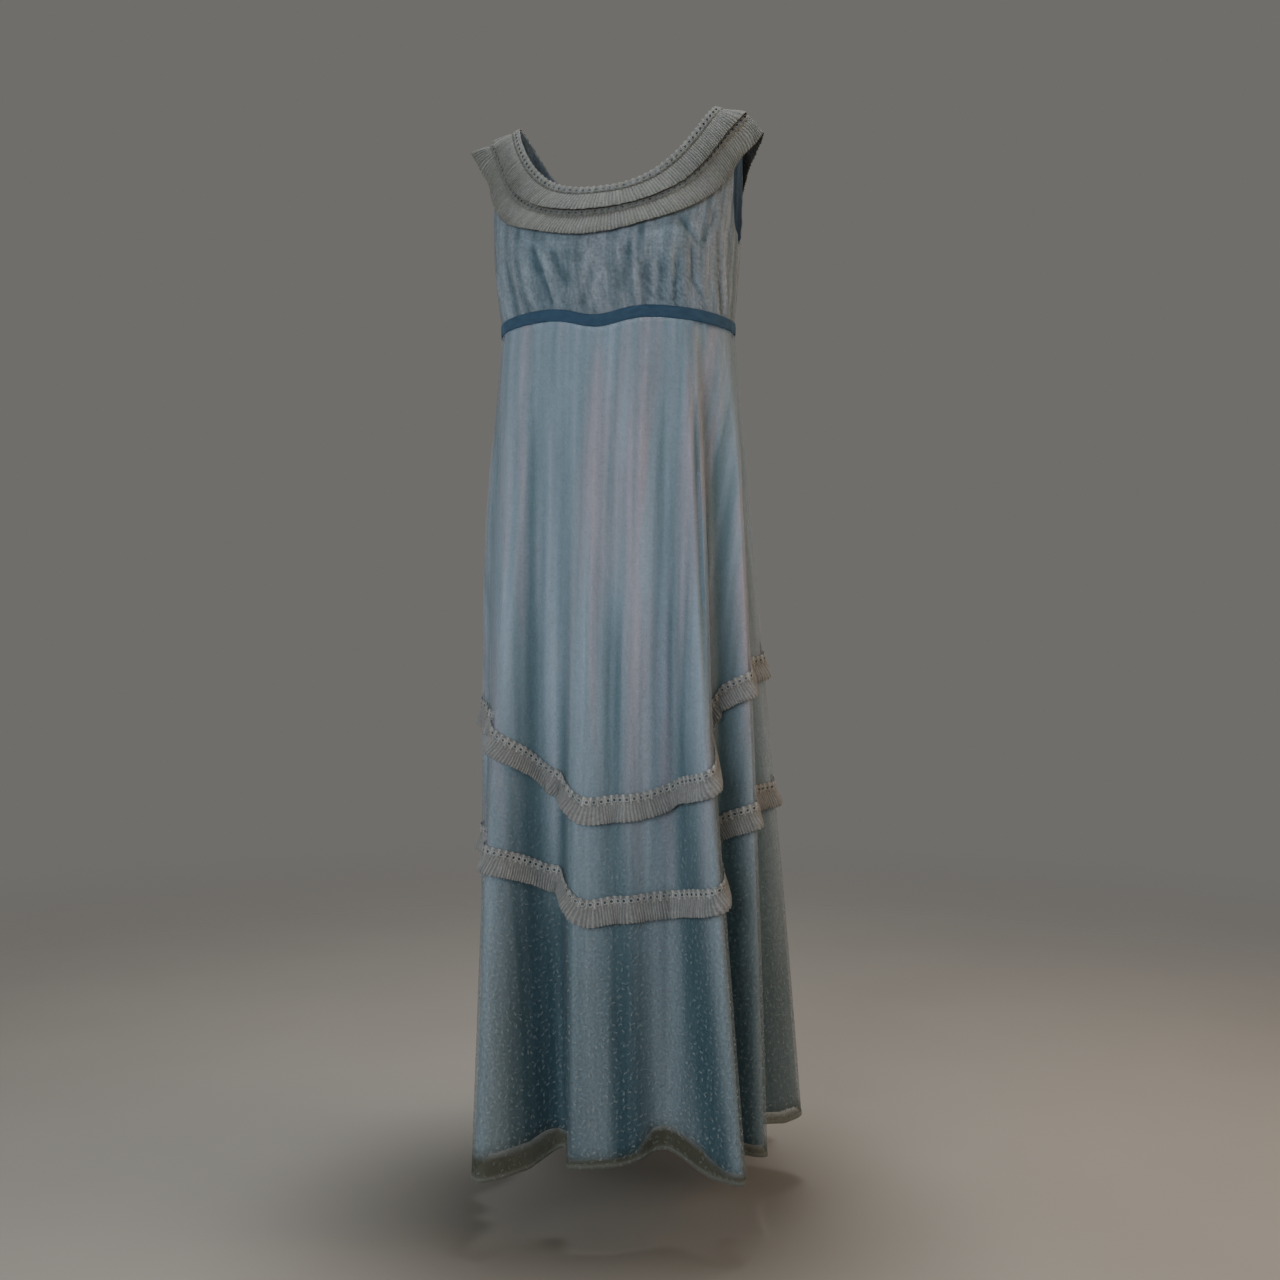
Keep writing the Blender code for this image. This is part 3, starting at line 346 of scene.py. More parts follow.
def cloth_lengths(points):
    """The cloth's own measures in metres, for its pattern: across each row from the panel's middle
    column, and down each column from its top."""
    across = np.linalg.norm(np.diff(points, axis=1), axis=-1)
    across = np.concatenate([np.zeros((len(points), 1)), np.cumsum(across, axis=1)], axis=1)
    middle = points.shape[1] // 2
    down = np.linalg.norm(np.diff(points, axis=0), axis=-1)
    down = np.concatenate([np.zeros((1, points.shape[1])), np.cumsum(down, axis=0)], axis=0)
    mean_down = np.broadcast_to(down.mean(axis=1, keepdims=True), down.shape)
    return np.stack([across - across[:, middle:middle + 1], -mean_down], axis=-1)


def quad_mesh(name, points, faces, uv, material, values=()):
    """A mesh object of quads: vertex places, corner numbers, the corners' cloth measures as its UV map,
    and named values held at the vertices."""
    mesh = bpy.data.meshes.new(name)
    mesh.vertices.add(len(points))
    mesh.vertices.foreach_set("co", points.astype(np.float32).ravel())
    mesh.loops.add(faces.size)
    mesh.loops.foreach_set("vertex_index", faces.astype(np.int32).ravel())
    mesh.polygons.add(len(faces))
    mesh.polygons.foreach_set("loop_start", np.arange(0, faces.size, faces.shape[1], dtype=np.int32))
    mesh.update(calc_edges=True)
    layer = mesh.uv_layers.new(name="cloth")
    layer.data.foreach_set("uv", uv.astype(np.float32).ravel())
    for key, value in values:
        attribute = mesh.attributes.new(key, "FLOAT", "POINT")
        attribute.data.foreach_set("value", np.asarray(value, np.float32).ravel())
    mesh.shade_smooth()
    mesh.materials.append(material)
    piece = bpy.data.objects.new(name, mesh)
    bpy.context.scene.collection.objects.link(piece)
    return piece


def grid_quads(rows, columns, closed=False):
    """Corner numbers of a grid's quads, turned so that their fronts face outward. In a closed grid the
    last column joins the first."""
    row, column = np.meshgrid(np.arange(rows - 1), np.arange(columns if closed else columns - 1),
                              indexing="ij")
    after = (column + 1) % columns
    return np.stack([row * columns + column, (row + 1) * columns + column,
                     (row + 1) * columns + after, row * columns + after], axis=-1).reshape(-1, 4)


def sheet_of(name, points, measures, material, values=()):
    """A grid of points as a cloth sheet, rows running down and columns from -X round the front."""
    rows, columns = points.shape[:2]
    faces = grid_quads(rows, columns)
    uv = measures.reshape(-1, 2)[faces.ravel()]
    flat = [(key, np.broadcast_to(value, (rows, columns))) for key, value in values]
    return quad_mesh(name, points.reshape(-1, 3), faces, uv, material, flat)


def give_thickness(piece, thickness):
    """Solidify: a wall of the cloth's thickness, inward of the sheet."""
    wall = piece.modifiers.new("cloth thickness", "SOLIDIFY")
    wall.thickness = thickness
    wall.offset = -1.0
    wall.use_quality_normals = True


def on_the_dress(piece, node):
    """Says that a piece rides on the dress, and hides the solid that it stands for."""
    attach(piece, "dress")
    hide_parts(node)


def cut_size(points):
    """The flat size that a grid of cloth was cut to, and its area: the longest row, the longest column,
    and the sum over the cells of half the cross product of their diagonals."""
    wide = np.linalg.norm(np.diff(points, axis=1), axis=-1).sum(axis=1).max()
    long = np.linalg.norm(np.diff(points, axis=0), axis=-1).sum(axis=0).max()
    cells = np.cross(points[1:, 1:] - points[:-1, :-1], points[1:, :-1] - points[:-1, 1:])
    return (float(wide), float(long)), float(np.linalg.norm(cells, axis=-1).sum() / 2)


def new_group(name, inputs, outputs):
    """A shader node group with named sockets. Returns its tree, its input node and its output node."""
    tree = bpy.data.node_groups.new(name, "ShaderNodeTree")
    for socket, kind in inputs:
        tree.interface.new_socket(socket, in_out="INPUT", socket_type=f"NodeSocket{kind}")
    for socket, kind in outputs:
        tree.interface.new_socket(socket, in_out="OUTPUT", socket_type=f"NodeSocket{kind}")
    return tree, tree.nodes.new("NodeGroupInput"), tree.nodes.new("NodeGroupOutput")


def plug(tree, socket, value):
    """Joins an output to an input, or sets the input's own value."""
    if isinstance(value, bpy.types.NodeSocket):
        tree.links.new(value, socket)
    elif value is not None:
        socket.default_value = value


def calc(tree, operation, *values, clamp=False):
    """A Math node's result for sockets or numbers."""
    node = tree.nodes.new("ShaderNodeMath")
    node.operation = operation
    node.use_clamp = clamp
    for socket, value in zip(node.inputs, values):
        plug(tree, socket, value)
    return node.outputs[0]


def move(tree, operation, *values):
    """A Vector Math node's result for sockets or vectors."""
    node = tree.nodes.new("ShaderNodeVectorMath")
    node.operation = operation
    for socket, value in zip(node.inputs, values):
        plug(tree, socket, value)
    return node.outputs["Value" if operation in ("LENGTH", "DOT_PRODUCT", "DISTANCE") else "Vector"]


def blend_colours(tree, share, first, second, kind="MIX"):
    """A colour between two, or one multiplied by the other by a share. The Mix node's sockets 6 and 7
    are its two colours, and its output 2 is the mixed one."""
    node = tree.nodes.new("ShaderNodeMix")
    node.data_type = "RGBA"
    node.blend_type = kind
    plug(tree, node.inputs["Factor"], share)
    plug(tree, node.inputs[6], first)
    plug(tree, node.inputs[7], second)
    return node.outputs[2]


def ramp(tree, value, low, high, to_low=0.0, to_high=1.0):
    """A value taken smoothly from one range to another."""
    node = tree.nodes.new("ShaderNodeMapRange")
    node.interpolation_type = "SMOOTHSTEP"
    for socket, given in zip(node.inputs, (value, low, high, to_low, to_high)):
        plug(tree, socket, given)
    return node.outputs[0]


def noise(tree, place, size, detail=2.0):
    """Noise whose cells are about a size in metres, from 0 to 1. The size may differ across and down."""
    node = tree.nodes.new("ShaderNodeTexNoise")
    node.inputs["Scale"].default_value = 1.0
    node.inputs["Detail"].default_value = detail
    plug(tree, node.inputs["Vector"], move(tree, "DIVIDE", place, size))
    return node.outputs["Fac"]


SLUB_WIDE = 0.0009
SLUB_LONG = 0.030


def weave_group():
    """Plain weave: one half plus half the product of two sine waves, one a thread apart across the cloth
    and one a thread apart down it. Slubs are long thin noise along both threads."""
    tree, given, result = new_group("weave", [("Place", "Vector"), ("Thread", "Float")],
                                    [("Height", "Float"), ("Slub", "Float")])
    split = tree.nodes.new("ShaderNodeSeparateXYZ")
    plug(tree, split.inputs[0], given.outputs["Place"])
    turns = calc(tree, "DIVIDE", 2 * math.pi, given.outputs["Thread"])
    across = calc(tree, "SINE", calc(tree, "MULTIPLY", split.outputs["X"], turns))
    down = calc(tree, "SINE", calc(tree, "MULTIPLY", split.outputs["Y"], turns))
    height = calc(tree, "MULTIPLY_ADD", calc(tree, "MULTIPLY", across, down), 0.5, 0.5)
    plug(tree, result.inputs["Height"], height)
    warp = noise(tree, given.outputs["Place"], (SLUB_WIDE, SLUB_LONG, 1.0), 1.0)
    weft = noise(tree, given.outputs["Place"], (SLUB_LONG, SLUB_WIDE, 1.0), 1.0)
    plug(tree, result.inputs["Slub"], calc(tree, "MULTIPLY", calc(tree, "ADD", warp, weft), 0.5))
    return tree


# Cells of the noise for the dye's random tone and for the painted streaks of light and shade, across and
# down the cloth, in metres
BLUSH_CELL = (0.045, 0.50, 1.0)
STREAK_CELL = (0.012, 0.40, 1.0)
BROAD_CELL = (0.05, 0.14, 1.0)
CLOSE_CELL = (0.008, 0.014, 1.0)
GRAIN_CELL = (0.0030, 0.0042, 1.0)
BLUSH_RANGE = (0.46, 0.62)
STREAKS, STREAKS_LOW = 1.5, 0.6
GRAIN, GRAIN_LOW = 1.8, 6.3


def dye_and_shade_group():
    """Cloth colour with painted light and shade: from the trough's painted shade to the ridge's painted
    light by the painted shade value and long painted streaks of light and shade, each going to its own low
    colour down the skirt, a painted shade that deepens towards the hem, the ridge with the square of the
    share. Painted-light ridges turn to the blush colour in broad streaks. Noise of three sizes lightens or
    darkens the whole at random. Down the skirt its finest grain grows and the streaks weaken."""
    tree, given, result = new_group(
        "dye_and_painted_shade", [("Ridge", "Color"), ("Trough", "Color"), ("Low Ridge", "Color"), ("Low Trough", "Color"),
                ("Blush", "Color"), ("Painted Shade", "Float"), ("Down", "Float"), ("Place", "Vector"),
                ("Mottle", "Float")],
        [("Colour", "Color")])
    down = given.outputs["Down"]
    place = given.outputs["Place"]
    blush = ramp(tree, noise(tree, place, BLUSH_CELL), *BLUSH_RANGE)
    ridge = blend_colours(tree, blush, given.outputs["Ridge"], given.outputs["Blush"])
    # Painted shade: ridge and trough colours both go to darker low colours down the skirt
    ridge = blend_colours(tree, calc(tree, "MULTIPLY", down, down), ridge, given.outputs["Low Ridge"])
    trough = blend_colours(tree, down, given.outputs["Trough"], given.outputs["Low Trough"])
    streak = calc(tree, "SUBTRACT", noise(tree, place, STREAK_CELL), 0.5)
    strength = calc(tree, "MULTIPLY_ADD", down, STREAKS_LOW - STREAKS, STREAKS)
    streak = calc(tree, "MULTIPLY", streak, strength)
    relief = calc(tree, "ADD", streak, given.outputs["Painted Shade"], clamp=True)
    # Painted light and shade: the trough colour where folds and streaks are painted in shade, the ridge
    # colour where they are painted light
    both = blend_colours(tree, relief, trough, ridge)
    broad = noise(tree, place, BROAD_CELL)
    close = noise(tree, place, CLOSE_CELL)
    grain = calc(tree, "SUBTRACT", noise(tree, place, GRAIN_CELL), 0.5)
    grain = calc(tree, "MULTIPLY", grain, calc(tree, "MULTIPLY_ADD", down, GRAIN_LOW - GRAIN, GRAIN))
    tone = calc(tree, "ADD", calc(tree, "SUBTRACT", calc(tree, "ADD", broad, close), 1.0), grain)
    tone = calc(tree, "MULTIPLY_ADD", tone, given.outputs["Mottle"], 1.0)
    shade = tree.nodes.new("ShaderNodeCombineColor")
    for socket in shade.inputs:
        plug(tree, socket, tone)
    plug(tree, result.inputs["Colour"], blend_colours(tree, 1.0, both, shade.outputs[0], "MULTIPLY"))
    return tree


def place_group(tree, group, values):
    """A node group set in a material, its inputs joined or set by their names."""
    node = tree.nodes.new("ShaderNodeGroup")
    node.node_tree = group
    for key, value in values.items():
        plug(tree, node.inputs[key], value)
    return node.outputs


def new_material(name, roughness, specular, sheen=0.0, sheen_roughness=0.5, metallic=0.0):
    """A Principled material with its uniform values set on the shader. Returns material, tree, shader."""
    material = bpy.data.materials.new(name)
    material.use_nodes = True
    shader = material.node_tree.nodes["Principled BSDF"]
    shader.inputs["Roughness"].default_value = roughness
    shader.inputs["Specular IOR Level"].default_value = specular
    shader.inputs["Sheen Weight"].default_value = sheen
    shader.inputs["Sheen Roughness"].default_value = sheen_roughness
    shader.inputs["Metallic"].default_value = metallic
    return material, material.node_tree, shader


def cloth_place(tree):
    """The piece's own cloth measures, in metres, from its UV map."""
    node = tree.nodes.new("ShaderNodeUVMap")
    node.uv_map = "cloth"
    return node.outputs[0]


def held_value(tree, name):
    """A value held at the piece's vertices."""
    node = tree.nodes.new("ShaderNodeAttribute")
    node.attribute_name = name
    return node.outputs["Fac"]


def raise_by(tree, shader, height, distance, strength=1.0):
    """A Bump node from a height to the shader's normal, with its distance in metres."""
    node = tree.nodes.new("ShaderNodeBump")
    node.inputs["Distance"].default_value = distance
    node.inputs["Strength"].default_value = strength
    plug(tree, node.inputs["Height"], height)
    plug(tree, shader.inputs["Normal"], node.outputs[0])


WEAVE = weave_group()
DYE_AND_SHADE = dye_and_shade_group()

# Satin colours: the ridge and blush colours are painted light, the trough and low colours painted shade
SATIN_DYE_AND_SHADE = {"Ridge": (0.36, 0.51, 0.67, 1.0), "Blush": (0.45, 0.47, 0.61, 1.0),
             "Trough": (0.15, 0.27, 0.35, 1.0), "Low Ridge": (0.235, 0.34, 0.42, 1.0),
             "Low Trough": (0.044, 0.118, 0.168, 1.0), "Mottle": 0.26}
# Shares of the skirt over which the painted shade towards the hem deepens
LOW_RANGE = (0.22, 0.86)
SATIN_THREAD = 0.00025
SATIN_ROUGH = 0.42
SLUB_ROUGH = 0.20
CRUSH_CELL = (0.0065, 0.11, 1.0)
CRUSH_HEIGHT = 9.0
SLUB_HEIGHT = 0.8
SATIN_BUMP = 0.00012


def satin_material():
    """Satin: a smooth lustrous face, painted lighter and more lavender on ridges as painted light, painted
    teal shade in troughs and low down, rougher where its thread is slubbed, with long crushed streaks."""
    material, tree, shader = new_material("satin_cloth", SATIN_ROUGH, specular=0.5, sheen=0.10)
    place = cloth_place(tree)
    down = ramp(tree, held_value(tree, "share"), *LOW_RANGE)
    dyed_and_shaded = place_group(tree, DYE_AND_SHADE, {**SATIN_DYE_AND_SHADE, "Painted Shade": held_value(tree, "relief"), "Down": down,
                                   "Place": place})
    plug(tree, shader.inputs["Base Color"], dyed_and_shaded["Colour"])
    woven = place_group(tree, WEAVE, {"Place": place, "Thread": SATIN_THREAD})
    slubbed = calc(tree, "MULTIPLY_ADD", woven["Slub"], SLUB_ROUGH, SATIN_ROUGH - SLUB_ROUGH / 2)
    plug(tree, shader.inputs["Roughness"], slubbed)
    height = calc(tree, "MULTIPLY_ADD", woven["Slub"], SLUB_HEIGHT, woven["Height"])
    height = calc(tree, "MULTIPLY_ADD", noise(tree, place, CRUSH_CELL), CRUSH_HEIGHT, height)
    raise_by(tree, shader, height, SATIN_BUMP, strength=0.7)
    return material


def relief_of(angle, height):
    """How much painted light or shade a skirt point gets from its folds, from 0, painted shade in the
    deepest trough, to 1, painted light on the highest ridge: one half plus half the hyperbolic tangent of a
    share of the main folds' shift, the soft folds growing down the skirt, and a little of the ripples."""
    share = skirt_share(height)
    main = RELIEF_MAIN * main_folds(angle, share)[0] / (MAIN_DEPTH + MAIN_DEPTH_MORE * share)
    soft = soft_folds(angle, share) / SOFT_DEPTH * (SOFT_SHARE + SOFT_SHARE_MORE * share)
    return 0.5 + 0.5 * np.tanh(RELIEF_LIFT + main + soft + ripples(angle, share) / RIPPLE_DEPTH)


SATIN = satin_material()
# A panel's side is -1 or 1 for the backs, whose edges meet at the zip, and 0 for the front
Panel = namedtuple("Panel", "name node start end columns side")
LINING_PANELS = [Panel("satin_front", "lining_front", -90.0, 90.0, 160, 0.0),
                 Panel("satin_back_left", "lining_back_left", -180.0, -89.0, 44, -1.0),
                 Panel("satin_back_right", "lining_back_right", 89.0, 180.0, 44, 1.0)]
for panel in LINING_PANELS:
    angles = evenly_spread(panel.start, panel.end, panel.columns, SPREAD_Z)
    top = ribbon_height(angles)
    foot = hem_height(angles) + lining_short(angles)
    heights = top + (foot - top) * np.linspace(0.0, 1.0, LINING_ROWS + 1)[:, None]
    angles = np.broadcast_to(angles, heights.shape)
    points = skirt_point(angles, heights)
    if panel.side:
        points = part_for_zip(points, panel.side)
    points = points - surface_normals(points) * (LINING_IN + seam_tuck(angles, panel.side))[..., None]
    # The fold value held here paints the cloth light on ridges and in shade in troughs
    piece = sheet_of(panel.name, points, cloth_lengths(points), SATIN,
                     [("relief", relief_of(angles, heights)), ("share", skirt_share(heights))])
    give_thickness(piece, SATIN_THICK)
    on_the_dress(piece, panel.node)
    flat, area = cut_size(points)

# Sheer voile skirt: front and two backs of pale blue voile printed with tiny whitish sprigs. It hangs just
# off the satin, is sewn in at the empire seam, and has a narrow turned hem below the lining's edge.
VOILE_THICK = 0.0003
VOILE_ROWS = 132
HEM_TURNED = 0.007
HEM_STAND = 0.0006
HEM_STEP = 0.0012
HEM_ROW = 0.9965
BELOW_FADE = 0.004
VOILE_THREAD = 0.0006
VOILE_BUMP = 0.0001
# Voile colours: the ridge colours are painted light, the trough and low colours painted shade
VOILE_DYE_AND_SHADE = {"Ridge": (0.44, 0.54, 0.66, 1.0), "Blush": (0.50, 0.50, 0.59, 1.0),
             "Trough": (0.20, 0.31, 0.38, 1.0), "Low Ridge": (0.275, 0.35, 0.40, 1.0),
             "Low Trough": (0.070, 0.136, 0.174, 1.0), "Mottle": 0.18}
# Painted shade of the dark inside seen through the voile where it hangs below the satin, and a less dark
# painted shade on its turned hem
HEM_PAINTED_SHADE = (0.070, 0.080, 0.060, 1.0)
HEM_EDGE_PAINTED_SHADE = (0.15, 0.17, 0.155, 1.0)
SPRIG_COLOUR = (0.37, 0.46, 0.50, 1.0)
SPRIG_LOOSE = 0.85
SPRIG_FAINTEST = 0.3
SPRIG_LESS_BELOW = 0.6
SPRIG_RANGE = (0.35, 0.95)
SPRIG_SEEN = (0.12, 0.64)
SKIRT_SPRIGS = {"Spacing": 0.0090, "Long": 0.0050}
# A sprig in shares of its length: the bow and edges of its stem, its two leaves and its bud
STEM_BOW = 0.8
STEM_SOFT = (0.03, 0.14)
STEM_ENDS = (0.38, 0.52)
Leaf = namedtuple("Leaf", "x y wide tall")
LEAVES = [Leaf(0.14, 0.24, 0.24, 0.15), Leaf(-0.18, -0.16, 0.23, 0.14), Leaf(0.44, 0.16, 0.17, 0.17)]
LEAF_SOFT = (0.3, 1.3)
# How much of the satin the voile hides, and how much more with its slubs and threads, below the satin's
# edge, in the turned hem and at a sprig
COVER = 0.10
COVER_SLUB = 0.20
COVER_THREAD = 0.08
COVER_BELOW = 0.34
COVER_HEM = 0.12
COVER_SPRIG = 0.65


def sprig_group():
    """Small printed sprigs. Each cell of a loose 2-D Voronoi pattern holds one: its own middle is taken
    off, the rest is turned by the cell's own angle, and a curved stem, two leaves and a bud are distances
    to a parabola and to three ellipses, each cut off softly."""
    tree, given, result = new_group("sprigs", [("Place", "Vector"), ("Spacing", "Float"),
                                               ("Long", "Float")], [("Mask", "Float")])
    cells = tree.nodes.new("ShaderNodeTexVoronoi")
    cells.voronoi_dimensions = "2D"
    cells.inputs["Scale"].default_value = 1.0
    cells.inputs["Randomness"].default_value = SPRIG_LOOSE
    spaced = move(tree, "DIVIDE", given.outputs["Place"], given.outputs["Spacing"])
    plug(tree, cells.inputs["Vector"], spaced)
    away = move(tree, "SUBTRACT", spaced, cells.outputs["Position"])
    size = calc(tree, "DIVIDE", given.outputs["Spacing"], given.outputs["Long"])
    turn = tree.nodes.new("ShaderNodeVectorRotate")
    turn.rotation_type = "Z_AXIS"
    colour = tree.nodes.new("ShaderNodeSeparateColor")
    plug(tree, colour.inputs[0], cells.outputs["Color"])
    plug(tree, turn.inputs["Vector"], away)
    plug(tree, turn.inputs["Angle"], calc(tree, "MULTIPLY", colour.outputs[0], 2 * math.pi))
    own = tree.nodes.new("ShaderNodeSeparateXYZ")
    plug(tree, own.inputs[0], turn.outputs[0])
    x = calc(tree, "MULTIPLY", own.outputs["X"], size)
    y = calc(tree, "MULTIPLY", own.outputs["Y"], size)
    bow = calc(tree, "SUBTRACT", y, calc(tree, "MULTIPLY", calc(tree, "MULTIPLY", x, x), STEM_BOW))
    stem = ramp(tree, calc(tree, "ABSOLUTE", bow), *STEM_SOFT, 1.0, 0.0)
    mask = calc(tree, "MULTIPLY", stem, ramp(tree, calc(tree, "ABSOLUTE", x), *STEM_ENDS, 1.0, 0.0))
    for leaf in LEAVES:
        off_x = calc(tree, "DIVIDE", calc(tree, "SUBTRACT", x, leaf.x), leaf.wide)
        off_y = calc(tree, "DIVIDE", calc(tree, "SUBTRACT", y, leaf.y), leaf.tall)
        off = calc(tree, "ADD", calc(tree, "MULTIPLY", off_x, off_x), calc(tree, "MULTIPLY", off_y, off_y))
        mask = calc(tree, "MAXIMUM", mask, ramp(tree, off, *LEAF_SOFT, 1.0, 0.0))
    strength = calc(tree, "MULTIPLY_ADD", colour.outputs[1], 1 - SPRIG_FAINTEST, SPRIG_FAINTEST)
    plug(tree, result.inputs["Mask"], calc(tree, "MULTIPLY", mask, strength))
    return tree


SPRIGS = sprig_group()


def voile_material():
    """Voile: a fine open plain weave that lets the satin show through, denser at its printed sprigs, with
    the satin's painted fold light and shade, and painted as dark olive grey shade where it hangs below the
    satin. The sprigs show more the further down the skirt they are."""
    material, tree, shader = new_material("voile_cloth", roughness=0.62, specular=0.3, sheen=0.12)
    place = cloth_place(tree)
    share = held_value(tree, "share")
    below = held_value(tree, "below")
    hem = held_value(tree, "hem")
    sprigs = place_group(tree, SPRIGS, {**SKIRT_SPRIGS, "Place": place})
    seen = calc(tree, "MULTIPLY", sprigs["Mask"], ramp(tree, share, *SPRIG_RANGE, *SPRIG_SEEN))
    seen = calc(tree, "MULTIPLY", seen, calc(tree, "MULTIPLY_ADD", below, -SPRIG_LESS_BELOW, 1.0))
    dyed_and_shaded = place_group(tree, DYE_AND_SHADE, {**VOILE_DYE_AND_SHADE, "Painted Shade": held_value(tree, "relief"), "Place": place,
                                   "Down": ramp(tree, share, *LOW_RANGE)})
    # Painted shade below the satin's edge and on the turned hem
    cloth = blend_colours(tree, below, dyed_and_shaded["Colour"], HEM_PAINTED_SHADE)
    cloth = blend_colours(tree, hem, cloth, HEM_EDGE_PAINTED_SHADE)
    plug(tree, shader.inputs["Base Color"], blend_colours(tree, seen, cloth, SPRIG_COLOUR))
    woven = place_group(tree, WEAVE, {"Place": place, "Thread": VOILE_THREAD})
    cover = calc(tree, "MULTIPLY_ADD", woven["Slub"], COVER_SLUB, COVER)
    cover = calc(tree, "MULTIPLY_ADD", woven["Height"], COVER_THREAD, cover)
    cover = calc(tree, "MULTIPLY_ADD", below, COVER_BELOW, cover)
    cover = calc(tree, "MULTIPLY_ADD", hem, COVER_HEM, cover)
    plug(tree, shader.inputs["Alpha"], calc(tree, "MULTIPLY_ADD", seen, COVER_SPRIG, cover, clamp=True))
    raise_by(tree, shader, calc(tree, "ADD", woven["Height"], sprigs["Mask"]), VOILE_BUMP, strength=0.4)
    return material


VOILE = voile_material()
VOILE_PANELS = [Panel("voile_front", "skirt_front", -90.0, 90.0, 208, 0.0),
                Panel("voile_back_left", "skirt_back_left", -180.0, -89.0, 84, -1.0),
                Panel("voile_back_right", "skirt_back_right", 89.0, 180.0, 84, 1.0)]
for panel in VOILE_PANELS:
    angles = evenly_spread(panel.start, panel.end, panel.columns, SPREAD_Z)
    top = ribbon_height(angles)
    foot = hem_height(angles)
    rows = np.concatenate([np.linspace(0.0, 1.0, VOILE_ROWS + 1)[:-1], [HEM_ROW, 1.0]])[:, None]
    heights = top + (foot - top) * rows
    angles = np.broadcast_to(angles, heights.shape)
    points = skirt_point(angles, heights)
    hem = soft_step((HEM_TURNED - (heights - foot)) / HEM_STEP)
    below = soft_step((foot + lining_short(angles) - heights) / BELOW_FADE + 0.5)
    points += surface_normals(points) * (HEM_STAND * hem - seam_tuck(angles, panel.side))[..., None]
    if panel.side:
        points = part_for_zip(points, panel.side)
    piece = sheet_of(panel.name, points, cloth_lengths(points), VOILE,
                     [("relief", relief_of(angles, heights)), ("share", skirt_share(heights)), ("hem", hem),
                      ("below", below)])
    give_thickness(piece, VOILE_THICK)
    on_the_dress(piece, panel.node)
    flat, area = cut_size(points)

# Skirt bands: two lengths of one ready-made cotton trim, sewn round the skirt over the voile in a swoop
# that is low in front. A 12 mm eyelet lace heading carries a finely pleated ruffle whose lower edge stands
# off the skirt.
TRIM_TALL = 0.0345
TRIM_STAND = 0.0072
HEADING_TALL = 0.0125
HEADING_OUT = 0.0011
EYELET_PITCH = 0.0088
EYELET_RADIUS = 0.0018
EYELET_SIDES = 12
HEADING_THICK = 0.0005
# Each eyelet's rings, in hole radii, and from the hole's rim to the tile's edge their lift off the band and
# how much of the raised thread is there, which sets how light the thread is painted
EYELET_RINGS = np.array([1.0, 1.35, 1.85])[:, None]
RING_LIFTS = np.array([0.0003, 0.0010, 0.0004, 0.0002])
RING_LOOPS = np.array([0.55, 1.0, 0.45, 0.35])
BAR_LIFT = 0.0006
BAR_LOOP = 0.5
SCALLOP = 0.0010
KEYS_A_PITCH = 1000
KEYS_A_METRE = 1e6
PLEAT_PITCH = 0.0037
PLEAT_THICK = 0.0003
PLEAT_DEPTH = 0.0008
PLEAT_OUT = 0.0007
PLEAT_FULL = 1.5
PLEAT_ROWS = np.array([0.0, 0.06, 0.16, 0.32, 0.52, 0.72, 0.88, 0.96, 1.0])
# The vertices along one pleat: their places in pleats, and how far out each stands
PLEAT_PLACES = np.array([0.0, 0.13, 0.26, 0.45, 0.64, 0.83])
PLEAT_WAVE = np.array([-0.85, 0.1, 1.0, 0.55, -0.1, -0.65])
PLEAT_SIZES = (0.72, 1.15)
PLEAT_WANDER = 0.16
PLEAT_LEAN = 0.10
# How pleats open down the ruffle, how uneven its lower edge is, and how it flares off the cloth under it
OPEN_OVER = 0.35
OPEN_SOON = 0.55
EDGE_UNEVEN = 0.0005
EDGE_WAVY = 0.0004
FLARE_TOP = 0.12
FLARE_OVER = 0.9
SLOW_PLEATS = 9
SLOW_OUT = 0.0011
JOIN_PLEATS = 12
RUFFLE_TOP = 0.0105
# How finely a band's upper line and the cloth under it are sampled and smoothed
SHARE_STEPS = 4000
LINE_STEPS = 6000
SMOOTH_STEPS = 60
NORMAL_ANGLE = 0.15
NORMAL_DOWN = 0.001
# The bands' upper lines: share of the cloth from the centre front to the centre back, and height
Swoop = namedtuple("Swoop", "share top")
UPPER_SWOOP = [
    Swoop(-1.00, -0.652), Swoop(-0.80, -0.676), Swoop(-0.62, -0.728), Swoop(-0.50, -0.772),
    Swoop(-0.40, -0.802), Swoop(-0.30, -0.816), Swoop(-0.23, -0.828), Swoop(-0.17, -0.852),
    Swoop(-0.13, -0.868), Swoop(-0.085, -0.883), Swoop(-0.045, -0.897), Swoop(-0.020, -0.914),
    Swoop(0.05, -0.917), Swoop(0.11, -0.911), Swoop(0.17, -0.896), Swoop(0.25, -0.876),
    Swoop(0.30, -0.836), Swoop(0.35, -0.786), Swoop(0.39, -0.767), Swoop(0.45, -0.748),
    Swoop(0.58, -0.737), Swoop(0.70, -0.696), Swoop(0.84, -0.664), Swoop(1.00, -0.652),
]
LOWER_SWOOP = [
    Swoop(-1.00, -0.884), Swoop(-0.80, -0.904), Swoop(-0.62, -0.944), Swoop(-0.50, -0.966),
    Swoop(-0.40, -0.976), Swoop(-0.30, -0.980), Swoop(-0.20, -0.984), Swoop(-0.15, -0.995),
    Swoop(-0.10, -1.009), Swoop(-0.045, -1.021), Swoop(-0.020, -1.043), Swoop(0.05, -1.046),
    Swoop(0.11, -1.042), Swoop(0.18, -1.038), Swoop(0.25, -1.022), Swoop(0.30, -0.985),
    Swoop(0.35, -0.951), Swoop(0.39, -0.938), Swoop(0.45, -0.924), Swoop(0.58, -0.915),
    Swoop(0.70, -0.900), Swoop(0.84, -0.888), Swoop(1.00, -0.884),
]


def cloth_share(angle):
    """Share of the skirt's cloth from the centre front, -1 or 1 at the centre back, measured at the
    height where the panels' columns are spread."""
    fine = np.linspace(-180.0, 180.0, SHARE_STEPS + 1)
    length = lengths_along(skirt_point(fine, np.full_like(fine, SPREAD_Z), fine=False))
    middle = length[SHARE_STEPS // 2]
    share = np.where(fine < 0, (length - middle) / middle, (length - middle) / (length[-1] - middle))
    return np.interp(angle, fine, share)


